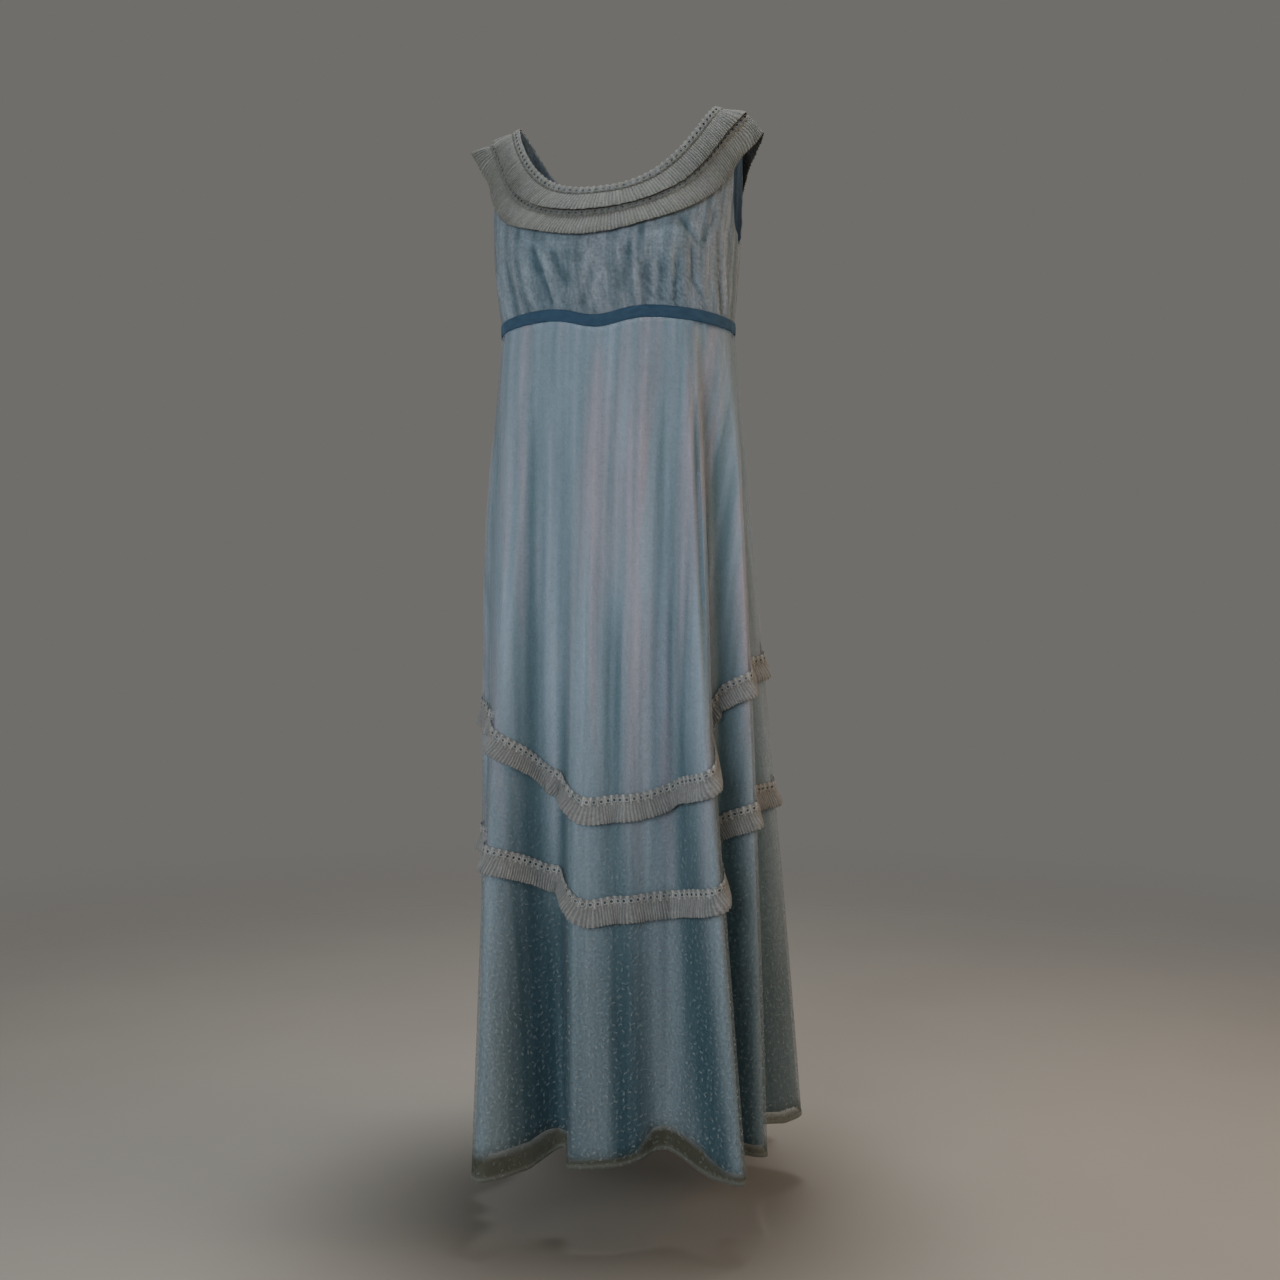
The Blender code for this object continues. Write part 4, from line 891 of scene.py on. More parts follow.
def band_surface(swoop):
    """The skirt under a band, as a function of the way along its upper line and the way down the trim.
    Down is square to the line: the place along moves by the way down times the sine and the cosine of
    the line's slope. Returns that function and the line's length."""
    angle = np.linspace(-180.0, 180.0, LINE_STEPS + 1)
    top = curve_through(cloth_share(angle), [row.share for row in swoop], [row.top for row in swoop])
    line = skirt_point(angle, top)
    flat = np.hypot(*np.diff(line[:, :2], axis=0).T)
    rise = np.diff(top)
    length = np.concatenate([[0.0], np.cumsum(np.hypot(flat, rise))])
    slope = np.interp(np.arange(len(angle)), np.arange(len(rise)) + 0.5, rise / np.hypot(flat, rise))
    evener = np.ones(2 * SMOOTH_STEPS + 1) / (2 * SMOOTH_STEPS + 1)
    smooth = np.convolve(np.pad(slope, SMOOTH_STEPS, mode="wrap"), evener, mode="valid")
    shift = TRIM_TALL * smooth * np.sqrt(1 - smooth ** 2)

    def surface(along, down):
        along = np.mod(along, length[-1])
        along = np.mod(along + np.interp(along, length, shift) * down / TRIM_TALL, length[-1])
        at = np.interp(along, length, angle)
        height = np.interp(along, length, top) - down
        point = skirt_point(at, height)
        across = skirt_point(at + NORMAL_ANGLE, height) - skirt_point(at - NORMAL_ANGLE, height)
        below = skirt_point(at, height - NORMAL_DOWN) - skirt_point(at, height + NORMAL_DOWN)
        normal = np.cross(below, across)
        return point, normal / np.linalg.norm(normal, axis=-1, keepdims=True)

    return surface, length[-1]


def heading_of(name, surface, length, material, closed):
    """Eyelet lace: equal tiles side by side, each a square with a round hole, made of three rings of
    quads from the hole's rim to the square. It stands in a raised ring round each hole and in a bar
    between tiles, and its upper edge is scalloped: it rises to a point between the tiles."""
    tiles = int(round(length / EYELET_PITCH))
    pitch = length / tiles
    turn = np.arange(EYELET_SIDES) * 2 * np.pi / EYELET_SIDES + np.pi / EYELET_SIDES
    cosine, sine = np.cos(turn), np.sin(turn)
    square = 1.0 / np.maximum(np.abs(cosine), np.abs(sine))
    corner = np.isclose(np.abs(cosine), np.abs(sine))
    square_x = np.where(corner, np.sign(cosine), np.clip(cosine * square, -1, 1))
    square_y = np.where(corner, np.sign(sine), np.clip(sine * square, -1, 1))
    bar = np.isclose(np.abs(square_x), 1.0)
    across = np.concatenate([EYELET_RINGS * EYELET_RADIUS * cosine, square_x[None] * pitch / 2])
    up = np.concatenate([EYELET_RINGS * EYELET_RADIUS * sine, square_y[None] * HEADING_TALL / 2])
    up[-1] += SCALLOP * (corner & (sine > 0))
    rings = len(RING_LIFTS)
    lift = np.repeat(RING_LIFTS[:, None], EYELET_SIDES, axis=1)
    lift[-1] += BAR_LIFT * bar
    loop = np.repeat(RING_LOOPS[:, None], EYELET_SIDES, axis=1)
    loop[-1] += BAR_LOOP * bar
    number = np.arange(tiles)[:, None, None]
    along = (number + 0.5) * pitch + across
    down = np.broadcast_to(HEADING_TALL / 2 - up, along.shape)
    point, normal = surface(along, down)
    point = point + normal * (HEADING_OUT + lift)[..., None]
    tile = grid_quads(rings, EYELET_SIDES, closed=True)
    faces = (tile + number * rings * EYELET_SIDES).reshape(-1, 4)
    # Tiles share the vertices whose places agree to a thousandth of a pitch and of a millimetre
    key = np.stack([np.round(along / pitch * KEYS_A_PITCH).astype(int).ravel(),
                    np.round(down * KEYS_A_METRE).astype(int).ravel()], axis=-1)
    if closed:
        key[:, 0] %= tiles * KEYS_A_PITCH
    _, first, inverse = np.unique(key, axis=0, return_index=True, return_inverse=True)
    uv = np.stack([along, -down], axis=-1).reshape(-1, 2)[faces.ravel()]
    values = [("loop", np.broadcast_to(loop, along.shape).reshape(-1)[first])]
    return quad_mesh(name, point.reshape(-1, 3)[first], inverse.reshape(-1)[faces], uv, material, values)


def ruffle_of(name, surface, length, trim, stand, seed, material, closed):
    """Pleated ruffle: knife pleats as a saw wave with rounded tips, 0 at the stitching and fullest at the
    lower edge, each pleat a little different, on a slow flare that carries the edge off the cloth under it.
    Returns the piece, and its flat size with its area."""
    random = np.random.default_rng(seed)
    pleats = int(round(length / PLEAT_PITCH))
    size = random.uniform(*PLEAT_SIZES, pleats)
    wander = random.uniform(-1.0, 1.0, pleats)
    edge = random.uniform(-1.0, 1.0, pleats)
    knots = pleats // SLOW_PLEATS + 2
    slow = np.interp(np.arange(pleats) / SLOW_PLEATS, np.arange(knots), random.uniform(-1.0, 1.0, knots))
    if closed:
        blend = soft_step((np.arange(pleats) - (pleats - JOIN_PLEATS)) / (JOIN_PLEATS - 1))
        slow = slow * (1 - blend) + slow[0] * blend
    steps = len(PLEAT_PLACES)
    index = np.arange(pleats * steps + (0 if closed else 1))
    which = np.minimum(index // steps, pleats - 1)
    wave = PLEAT_WAVE[index % steps]
    down = PLEAT_ROWS[:, None]
    opening = OPEN_SOON * soft_step(down / OPEN_OVER) + (1 - OPEN_SOON) * down
    along = index // steps + PLEAT_PLACES[index % steps] + PLEAT_WANDER * wander[which] * down
    along = along + PLEAT_LEAN * wave * opening
    along = np.clip(along, 0.0, None if closed else pleats) * length / pleats
    tall = trim - RUFFLE_TOP
    place_down = RUFFLE_TOP + tall * down + (EDGE_UNEVEN * edge[which] + EDGE_WAVY * wave) * down ** 4
    point, normal = surface(along, place_down)
    flare = stand * (FLARE_TOP + (1 - FLARE_TOP) * soft_step(down / FLARE_OVER))
    flare = flare + SLOW_OUT * slow[which] * down ** 2
    out = PLEAT_OUT + flare + PLEAT_DEPTH * wave * size[which] * opening
    point = point + normal * out[..., None]
    faces = grid_quads(len(PLEAT_ROWS), len(index), closed)
    row, column = np.divmod(faces[:, 0], len(index))
    across = np.stack([column, column, column + 1, column + 1], axis=-1) / steps * PLEAT_PITCH * PLEAT_FULL
    deep = RUFFLE_TOP + tall * PLEAT_ROWS[np.stack([row, row + 1, row + 1, row], axis=-1)]
    # The crest value paints the pleats' crests light and their hollows in shade
    piece = quad_mesh(name, point.reshape(-1, 3), faces, np.stack([across, -deep], axis=-1), material,
                      [("crest", np.broadcast_to(0.5 + 0.5 * wave, along.shape))])
    return piece, cut_size(np.concatenate([point, point[:, :1]], axis=1) if closed else point)


# Lace colours: the ridge and blush colours are painted light on raised thread and pleat crests, the trough
# colour painted shade in hollows
LACE_DYE_AND_SHADE = {"Ridge": (0.55, 0.58, 0.59, 1.0), "Blush": (0.51, 0.52, 0.56, 1.0),
            "Trough": (0.19, 0.22, 0.235, 1.0), "Down": 0.0, "Mottle": 0.45}
RUFFLE_DYE_AND_SHADE = {**LACE_DYE_AND_SHADE, "Ridge": (0.33, 0.35, 0.36, 1.0), "Blush": (0.33, 0.335, 0.36, 1.0),
              "Trough": (0.195, 0.22, 0.235, 1.0)}
LACE_THREAD = 0.0005
LACE_BUMP = 0.0003
FUZZ_CELL = (0.0007, 0.0007, 1.0)
TUFT_CELL = (0.0024, 0.0030, 1.0)
TUFT_MORE = 1.6
LACE_UNEVEN = 0.9
LACE_ROUGH = 0.82
FUZZ_ROUGH = 0.2
FUZZ_HEIGHT = 1.2
# The held values from which the thread is painted at its darkest shade and at its lightest
LOOP_RANGE = (0.3, 1.0)
CREST_RANGE = (-0.1, 1.2)


def lace_material(name, dye_and_painted_shade, held, low, high):
    """Cotton trim, greyish cream: matt, fuzzy thread with a coarse weave, painted light where a held value
    says that it stands up and painted shade in its hollows."""
    material, tree, shader = new_material(name, LACE_ROUGH, specular=0.25, sheen=0.15)
    place = cloth_place(tree)
    fuzz = noise(tree, place, FUZZ_CELL)
    tufts = noise(tree, place, TUFT_CELL)
    uneven = calc(tree, "SUBTRACT", calc(tree, "MULTIPLY_ADD", tufts, TUFT_MORE, fuzz), (1 + TUFT_MORE) / 2)
    # Painted light where the thread stands up, painted shade in its hollows
    raised = ramp(tree, held_value(tree, held), low, high)
    stands = calc(tree, "MULTIPLY_ADD", uneven, LACE_UNEVEN, raised, clamp=True)
    dyed_and_shaded = place_group(tree, DYE_AND_SHADE, {**dye_and_painted_shade, "Painted Shade": stands, "Place": place})
    plug(tree, shader.inputs["Base Color"], dyed_and_shaded["Colour"])
    woven = place_group(tree, WEAVE, {"Place": place, "Thread": LACE_THREAD})
    fuzzed = calc(tree, "MULTIPLY_ADD", fuzz, FUZZ_ROUGH, LACE_ROUGH - FUZZ_ROUGH / 2)
    plug(tree, shader.inputs["Roughness"], fuzzed)
    height = calc(tree, "MULTIPLY_ADD", fuzz, FUZZ_HEIGHT, woven["Height"])
    raise_by(tree, shader, height, LACE_BUMP, strength=0.9)
    return material


LACE = lace_material("skirt_eyelet_lace", LACE_DYE_AND_SHADE, "loop", *LOOP_RANGE)
RUFFLE = lace_material("skirt_pleated_ruffle", RUFFLE_DYE_AND_SHADE, "crest", *CREST_RANGE)
Band = namedtuple("Band", "name node swoop seed")
BANDS = [Band("skirt_upper", "skirt_trim_upper", UPPER_SWOOP, 11),
         Band("skirt_lower", "skirt_trim_lower", LOWER_SWOOP, 12)]
for band in BANDS:
    surface, length = band_surface(band.swoop)
    heading = heading_of(f"{band.name}_heading", surface, length, LACE, closed=True)
    ruffle, (flat, area) = ruffle_of(f"{band.name}_ruffle", surface, length, TRIM_TALL, TRIM_STAND,
                                     band.seed, RUFFLE, closed=True)
    give_thickness(heading, HEADING_THICK)
    give_thickness(ruffle, PLEAT_THICK)
    on_the_dress(heading, band.node)
    on_the_dress(ruffle, band.node)

# Bodice: front and two backs, each of satin with the voile over it, made up as one. The front is cut to a
# wide scoop neck and shaped over the bust by tucks let into the empire seam; the shoulder and side seams
# are plain.
NECK_ANGLE = 45.0
TIP_ANGLE = 70.0
FRONT_NECK_Z = -0.121
BACK_NECK_Z = -0.115
UNDERARM_Z = -0.190
NECK_POWER = 2.5
# A quarter of the bodice: its columns and rows, and how its inner points are spread, with so many degrees
# of angle counted as a metre of height
QUARTER_COLUMNS = 20
ARMHOLE_COLUMNS = 8
SIDE_SEAM_COLUMNS = 4
BODICE_ROWS = 7
EVEN_SCALE = 333.0
EVEN_ROUNDS = 400
# The cups and the slope of the shoulders
CUP_ANGLE = 29.0
CUP_SPREAD = 17.0
CUP_Z = -0.212
CUP_TALL = 0.040
CUP_OUT = 0.009
SLOPE_FROM = 0.134
SLOPE = 0.36
SLOPE_FADE = 0.12
BODICE_FINE = 5
BODICE_SATIN_IN = 0.0007
# How deep creases are, how they fade at their two ends, and how they die away at the empire seam
BODICE_CREASED = 1.6
CREASE_IN = 0.35
CREASE_OUT = 0.25
CREASE_FOOT = 0.003
CREASE_FOOT_FADE = 0.012
# Two faint waves, in radians a degree round the body and a metre of height, that cross each other
QUIET_WAVES = ((0.9, 60.0), (-0.31, 70.0))
QUIET_OUT = 0.0006
# How much painted light or shade a point of the bodice gets from its creases
BODICE_LIFT = 0.16
CREASE_DEPTH = 0.0031
QUIET_RELIEF = 0.30
CURVE_STEPS = 600
BODICE_SECTIONS = [
    Section(-0.000, 0.189, 0.000, 0.000),
    Section(-0.020, 0.187, 0.031, 0.031),
    Section(-0.060, 0.183, 0.056, 0.056),
    Section(-0.120, 0.177, 0.083, 0.080),
    Section(-0.160, 0.174, 0.103, 0.093),
    Section(-0.210, 0.170, 0.116, 0.099),
    Section(-0.250, 0.167, 0.106, 0.092),
    Section(RIBBON_Z, 0.163, 0.085, 0.075),
]
# Tucks, creases (depth -) and the soft ridges beside them (+), from one angle and height to another
Crease = namedtuple("Crease", "angle_from z_from angle_to z_to depth width")
CREASES = [
    Crease(-26, -0.196, -22.5, -0.236, -0.0035, 0.0035),
    Crease(-22.5, -0.232, -20.0, -0.290, -0.0045, 0.0030),
    Crease(-16.5, -0.198, -12.0, -0.252, -0.0028, 0.0032),
    Crease(-9.0, -0.200, -10.5, -0.248, -0.0014, 0.0050),
    Crease(-19.5, -0.205, -16.5, -0.280, 0.0026, 0.0040),
    Crease(-31.0, -0.215, -29.0, -0.285, 0.0022, 0.0070),
    Crease(-34.0, -0.262, -27.0, -0.292, -0.0018, 0.0030),
    Crease(-46.0, -0.200, -44.0, -0.280, -0.0018, 0.0070),
    Crease(-60.0, -0.205, -58.0, -0.280, 0.0018, 0.0080),
    Crease(5.5, -0.236, -3.0, -0.280, 0.0016, 0.0035),
    Crease(0.5, -0.215, -6.5, -0.270, 0.0015, 0.0035),
    Crease(2.5, -0.222, -5.0, -0.284, -0.0014, 0.0030),
    Crease(18.0, -0.196, 12.0, -0.262, -0.0026, 0.0042),
    Crease(21.5, -0.214, 17.5, -0.290, 0.0036, 0.0034),
    Crease(24.5, -0.222, 24.0, -0.276, -0.0028, 0.0028),
    Crease(28.0, -0.222, 25.5, -0.276, 0.0026, 0.0028),
    Crease(31.5, -0.222, 29.0, -0.280, -0.0032, 0.0026),
    Crease(36.5, -0.198, 33.0, -0.288, 0.0034, 0.0032),
    Crease(39.5, -0.218, 36.0, -0.288, -0.0034, 0.0024),
    Crease(43.5, -0.214, 39.5, -0.288, 0.0026, 0.0032),
    Crease(46.5, -0.200, 47.5, -0.255, -0.0032, 0.0028),
    Crease(47.5, -0.250, 55.0, -0.288, -0.0022, 0.0026),
    Crease(55.0, -0.212, 51.5, -0.290, 0.0022, 0.0040),
    Crease(63.5, -0.180, 70.5, -0.292, -0.0030, 0.0020),
    Crease(69.0, -0.200, 75.0, -0.285, 0.0022, 0.0036),
    Crease(36.0, -0.165, 50.0, -0.205, -0.0020, 0.0040),
    Crease(60.0, -0.150, 54.0, -0.200, -0.0018, 0.0040),
    Crease(160.0, -0.215, 163.0, -0.292, -0.0026, 0.0030),
    Crease(152.0, -0.205, 150.0, -0.290, 0.0022, 0.0050),
    Crease(140.0, -0.215, 141.0, -0.292, -0.0024, 0.0030),
    Crease(120.0, -0.200, 117.0, -0.285, 0.0018, 0.0070),
    Crease(-160.0, -0.210, -163.0, -0.292, -0.0026, 0.0030),
    Crease(-151.0, -0.200, -149.0, -0.290, 0.0022, 0.0050),
    Crease(-139.0, -0.218, -141.0, -0.292, -0.0024, 0.0030),
    Crease(-119.0, -0.205, -116.0, -0.285, 0.0018, 0.0070),
    Crease(-103.0, -0.220, -101.0, -0.288, -0.0018, 0.0050),
    Crease(103.0, -0.215, 101.0, -0.288, -0.0018, 0.0050),
]
METRES_A_DEGREE = 0.0027
ARMHOLE_KNOTS = np.array([(TIP_ANGLE, 0.0), (64.0, -0.070), (75.0, -0.178), (SEAM_ANGLE, UNDERARM_Z)])


def bodice_point(angle, height):
    """A point of the bodice: the oval's point, out over the cups by a bell, and down beyond the shoulder
    slope's start by its share of the way out."""
    level = levelled(angle, height)
    x, y = oval(angle, level, BODICE_SECTIONS)
    cup = np.exp(-((np.abs(angle) - CUP_ANGLE) / CUP_SPREAD) ** 2 - ((level - CUP_Z) / CUP_TALL) ** 2)
    drop = SLOPE * np.clip(np.abs(x) - SLOPE_FROM, 0.0, None) * np.clip(1 + height / SLOPE_FADE, 0.0, 1.0)
    return np.stack([x, y - CUP_OUT * cup, height - drop], axis=-1)


def crease_depth(angle, height):
    """Sum of the creases: depth times a bell of the distance to the crease's line, growing from nothing at
    its upper end and fading to nothing past its lower one."""
    total = np.zeros(np.broadcast(angle, height).shape)
    for crease in CREASES:
        along_x = (crease.angle_to - crease.angle_from) * METRES_A_DEGREE
        along_z = crease.z_to - crease.z_from
        off_x = (angle - crease.angle_from) * METRES_A_DEGREE
        off_z = height - crease.z_from
        way = (off_x * along_x + off_z * along_z) / (along_x ** 2 + along_z ** 2)
        near = np.clip(way, 0.0, 1.0)
        distance = np.hypot(off_x - near * along_x, off_z - near * along_z)
        fade = soft_step(way / CREASE_IN) * soft_step((1 + CREASE_OUT - way) / CREASE_OUT)
        total += crease.depth * fade * np.exp(-(distance / crease.width) ** 2)
    return total


def armhole(share):
    """The armhole in angle and height, from the shoulder tip (0) to the underarm (1): a cubic Bezier."""
    first, second, third, last = ARMHOLE_KNOTS
    t = np.asarray(share)[:, None]
    return ((1 - t) ** 3 * first + 3 * t * (1 - t) ** 2 * second
            + 3 * t * t * (1 - t) * third + t ** 3 * last)


def at_equal_lengths(curve, count):
    """count + 1 places from 0 to 1 at equal lengths along a finely sampled curve."""
    length = lengths_along(curve)
    return np.interp(np.linspace(0.0, length[-1], count + 1), length, np.linspace(0.0, 1.0, len(curve)))


def read_finer(grid, times, corners):
    """A grid read at so many times its rows, by a cubic through the rows in each run between corners."""
    parts = []
    for first, last in zip(corners, corners[1:]):
        run = grid[first:last + 1]
        slope = np.gradient(run, axis=0)
        place = np.linspace(0.0, last - first, (last - first) * times + 1)
        left = np.minimum(place.astype(int), last - first - 1)
        t = (place - left).reshape(-1, *[1] * (grid.ndim - 1))
        start = run[left] * (1 + 2 * t) * (1 - t) ** 2 + slope[left] * t * (1 - t) ** 2
        end = run[left + 1] * t * t * (3 - 2 * t) + slope[left + 1] * t * t * (t - 1)
        parts.append((start + end)[:-1])
    return np.concatenate(parts + [grid[corners[-1]:corners[-1] + 1]])


def bodice_quarter(neck_z, middle, turn):
    """A quarter of the bodice as angles and heights: rows from the neck edge out to the armhole, side
    seam and ribbon, columns from the shoulder seam to the centre. Inner points are the mean of their four
    neighbours, found by averaging until they settle, and the grid is then read more finely."""
    count = QUARTER_COLUMNS
    fine = np.linspace(NECK_ANGLE, 0.0, CURVE_STEPS)
    curve = bodice_point(middle + turn * fine, neck_z * (1 - (fine / NECK_ANGLE) ** NECK_POWER))
    neck_angle = NECK_ANGLE * (1 - at_equal_lengths(curve, count))
    neck = np.stack([neck_angle, neck_z * (1 - (neck_angle / NECK_ANGLE) ** NECK_POWER)], axis=-1)
    fine_arm = armhole(np.linspace(0.0, 1.0, CURVE_STEPS))
    curve = bodice_point(middle + turn * fine_arm[:, 0], fine_arm[:, 1])
    arm = armhole(at_equal_lengths(curve, ARMHOLE_COLUMNS))
    foot_angle = np.linspace(SEAM_ANGLE, 0.0, count - ARMHOLE_COLUMNS - SIDE_SEAM_COLUMNS + 1)
    foot = np.stack([foot_angle, ribbon_height(middle + turn * foot_angle)], axis=-1)
    side = np.stack([np.full(SIDE_SEAM_COLUMNS + 1, SEAM_ANGLE),
                     np.linspace(UNDERARM_Z, foot[0, 1], SIDE_SEAM_COLUMNS + 1)], axis=-1)
    outer = np.concatenate([arm[:-1], side[:-1], foot])
    even = np.linspace(0.0, 1.0, BODICE_ROWS + 1)[:, None, None]
    grid = (neck * (1 - even) + outer * even) * np.array([1.0, EVEN_SCALE])
    for _ in range(EVEN_ROUNDS):
        grid[1:-1, 1:-1] = (grid[:-2, 1:-1] + grid[2:, 1:-1] + grid[1:-1, :-2] + grid[1:-1, 2:]) / 4
    grid = read_finer(grid, BODICE_FINE, [0, BODICE_ROWS])
    corners = [0, ARMHOLE_COLUMNS, ARMHOLE_COLUMNS + SIDE_SEAM_COLUMNS, count]
    grid = read_finer(grid.swapaxes(0, 1), BODICE_FINE, corners).swapaxes(0, 1)
    return np.stack([middle + turn * grid[..., 0], grid[..., 1] / EVEN_SCALE], axis=-1)


quarters = [bodice_quarter(BACK_NECK_Z, -180.0, 1.0)[:, ::-1], bodice_quarter(FRONT_NECK_Z, 0.0, -1.0),
            bodice_quarter(FRONT_NECK_Z, 0.0, 1.0)[:, ::-1], bodice_quarter(BACK_NECK_Z, 180.0, -1.0)]
form = np.concatenate([quarters[0]] + [quarter[:, 1:] for quarter in quarters[1:]], axis=1)
bodice_plain = bodice_point(form[..., 0], form[..., 1])
bodice_out = surface_normals(bodice_plain)
# At the centre back both edges have one normal, with no sideways share
back_out = bodice_out[:, 0] * [0.0, 1.0, 1.0]
back_out /= np.linalg.norm(back_out, axis=-1, keepdims=True)
bodice_out[:, 0] = back_out
bodice_out[:, -1] = back_out
above_ribbon = form[..., 1] - ribbon_height(form[..., 0])
creased = BODICE_CREASED * crease_depth(form[..., 0], form[..., 1])
creased = creased * soft_step((above_ribbon - CREASE_FOOT) / CREASE_FOOT_FADE)
quiet = np.prod([np.sin(a_degree * form[..., 0] + a_metre * form[..., 1])
                 for a_degree, a_metre in QUIET_WAVES], axis=0)
bodice_skin = bodice_plain + bodice_out * (creased + QUIET_OUT * quiet)[..., None]
bodice_relief = 0.5 + 0.5 * np.tanh(BODICE_LIFT + creased / CREASE_DEPTH + QUIET_RELIEF * quiet)
bodice_measure = np.stack([form[..., 0] * METRES_A_DEGREE, form[..., 1]], axis=-1)

# Bodice colours: the ridge and blush colours are painted light, the trough colour painted shade in the
# creases
BODICE_DYE_AND_SHADE = {"Ridge": (0.36, 0.46, 0.56, 1.0), "Blush": (0.38, 0.45, 0.54, 1.0),
              "Trough": (0.090, 0.172, 0.235, 1.0), "Down": 0.0, "Mottle": 0.55}
BODICE_SPRIGS = {"Spacing": 0.0110, "Long": 0.0044}
BODICE_SPRIG_SEEN = 0.12
BODICE_COVER_SLUB = 0.22
BODICE_CRUSH_CELL = (0.0075, 0.022, 1.0)
BODICE_CRUSH = 14.0


def bodice_material(name, roughness, sheer):
    """Bodice cloth: satin, or the sheer voile over it with faint sprigs and no thread in its cover, both
    painted light on the creases' ridges and painted shade in the creases.
    """
    material, tree, shader = new_material(name, roughness, specular=0.3 if sheer else 0.5, sheen=0.12)
    place = cloth_place(tree)
    dyed_and_shaded = place_group(tree, DYE_AND_SHADE, {**BODICE_DYE_AND_SHADE, "Painted Shade": held_value(tree, "relief"), "Place": place})
    woven = place_group(tree, WEAVE, {"Place": place, "Thread": VOILE_THREAD if sheer else SATIN_THREAD})
    colour = dyed_and_shaded["Colour"]
    if sheer:
        sprigs = place_group(tree, SPRIGS, {**BODICE_SPRIGS, "Place": place})
        seen = calc(tree, "MULTIPLY", sprigs["Mask"], BODICE_SPRIG_SEEN)
        colour = blend_colours(tree, seen, colour, SPRIG_COLOUR)
        cover = calc(tree, "MULTIPLY_ADD", woven["Slub"], BODICE_COVER_SLUB, COVER)
        plug(tree, shader.inputs["Alpha"], calc(tree, "MULTIPLY_ADD", seen, COVER_SPRIG, cover, clamp=True))
    else:
        slubbed = calc(tree, "MULTIPLY_ADD", woven["Slub"], SLUB_ROUGH, roughness - SLUB_ROUGH / 2)
        plug(tree, shader.inputs["Roughness"], slubbed)
    plug(tree, shader.inputs["Base Color"], colour)
    crushed = noise(tree, place, BODICE_CRUSH_CELL, detail=3.0)
    height = calc(tree, "MULTIPLY_ADD", crushed, BODICE_CRUSH, woven["Height"])
    raise_by(tree, shader, height, SATIN_BUMP, strength=0.8)
    return material


BODICE_SATIN = bodice_material("bodice_satin", roughness=0.46, sheer=False)
BODICE_VOILE = bodice_material("bodice_voile", roughness=0.60, sheer=True)
quarter = QUARTER_COLUMNS * BODICE_FINE
# A panel's first and last columns in the form, and the angles between its seams
BodicePanel = namedtuple("BodicePanel", "name first last start end side")
BODICE_PANELS = [BodicePanel("back_left", 0, quarter, -180.0, -90.0, -1.0),
                 BodicePanel("front", quarter, 3 * quarter, -90.0, 90.0, 0.0),
                 BodicePanel("back_right", 3 * quarter, 4 * quarter, 90.0, 180.0, 1.0)]
for panel in BODICE_PANELS:
    columns = slice(panel.first, panel.last + 1)
    for slot, inward, material, thickness in (("satin", BODICE_SATIN_IN, BODICE_SATIN, SATIN_THICK),
                                              ("voile", 0.0, BODICE_VOILE, VOILE_THICK)):
        points = bodice_skin[:, columns] - bodice_out[:, columns] * inward
        if panel.side:
            points = part_for_zip(points, panel.side)
        piece = sheet_of(f"bodice_{slot}_{panel.name}", points, bodice_measure[:, columns], material,
                         [("relief", bodice_relief[:, columns])])
        give_thickness(piece, thickness)
        on_the_dress(piece, f"bodice_{panel.name}")

# Velvet ribbon: one length of 15 mm velvet laid over the empire seam, its ends meeting at the zip. It is
# sewn by its edges, so it is a little domed and follows the gathers under it.
RIBBON_TALL = 0.0155
RIBBON_OUT = 0.0013
RIBBON_DOME = 0.0006
# Slow waves over the gathers, closer together and further apart by turns and deeper at the lower edge
WAVE_OUT = 0.0003
WAVE_COUNT = 31
WAVE_UNEVEN, WAVE_TURNS = 1.5, 5
WAVE_LOW = 0.4
RIBBON_THICK = 0.0010
RIBBON_COLUMNS = 420
RIBBON_ROWS = 8
VELVET_DEEP = (0.030, 0.068, 0.120, 1.0)
VELVET_LIT = (0.062, 0.122, 0.204, 1.0)
VELVET_SHEEN = (0.35, 0.55, 0.75, 1.0)
PILE_CELL = (0.0005, 0.0005, 1.0)
BRUSHED_CELL = (0.016, 0.006, 1.0)
PILE_SHARE = 0.55
PILE_RANGE = (0.20, 0.80)
PILE_BUMP = 0.0004
SELVEDGE = (0.86, 0.98)

angles = evenly_spread(-180.0, 180.0, RIBBON_COLUMNS, RIBBON_Z)
across = np.linspace(-1.0, 1.0, RIBBON_ROWS + 1)[:, None]
middle_height = ribbon_height(angles)
heights = middle_height - across * RIBBON_TALL / 2
angles = np.broadcast_to(angles, heights.shape)
edge_up = np.broadcast_to(middle_height + RIBBON_TALL / 2, heights.shape)
edge_down = np.broadcast_to(middle_height - RIBBON_TALL / 2, heights.shape)
upper = np.stack([*oval(angles, levelled(angles, edge_up), BODICE_SECTIONS), edge_up], axis=-1)
lower = np.stack([*oval(angles, levelled(angles, edge_down), SKIRT_SECTIONS), edge_down], axis=-1)
share = (across[..., None] + 1) / 2
ribbon_points = upper * (1 - share) + lower * share
turn = np.radians(angles)
wave = np.sin(WAVE_COUNT * turn + WAVE_UNEVEN * np.sin(WAVE_TURNS * turn))
lie = RIBBON_OUT + RIBBON_DOME * (1 - across ** 4) + WAVE_OUT * wave * (1 + WAVE_LOW * across)
ribbon_points += surface_normals(ribbon_points) * lie[..., None]
half = RIBBON_COLUMNS // 2
ribbon_points = np.concatenate([part_for_zip(ribbon_points[:, :half], -1.0),
                                ribbon_points[:, half:half + 1],
                                part_for_zip(ribbon_points[:, half + 1:], 1.0)], axis=1)


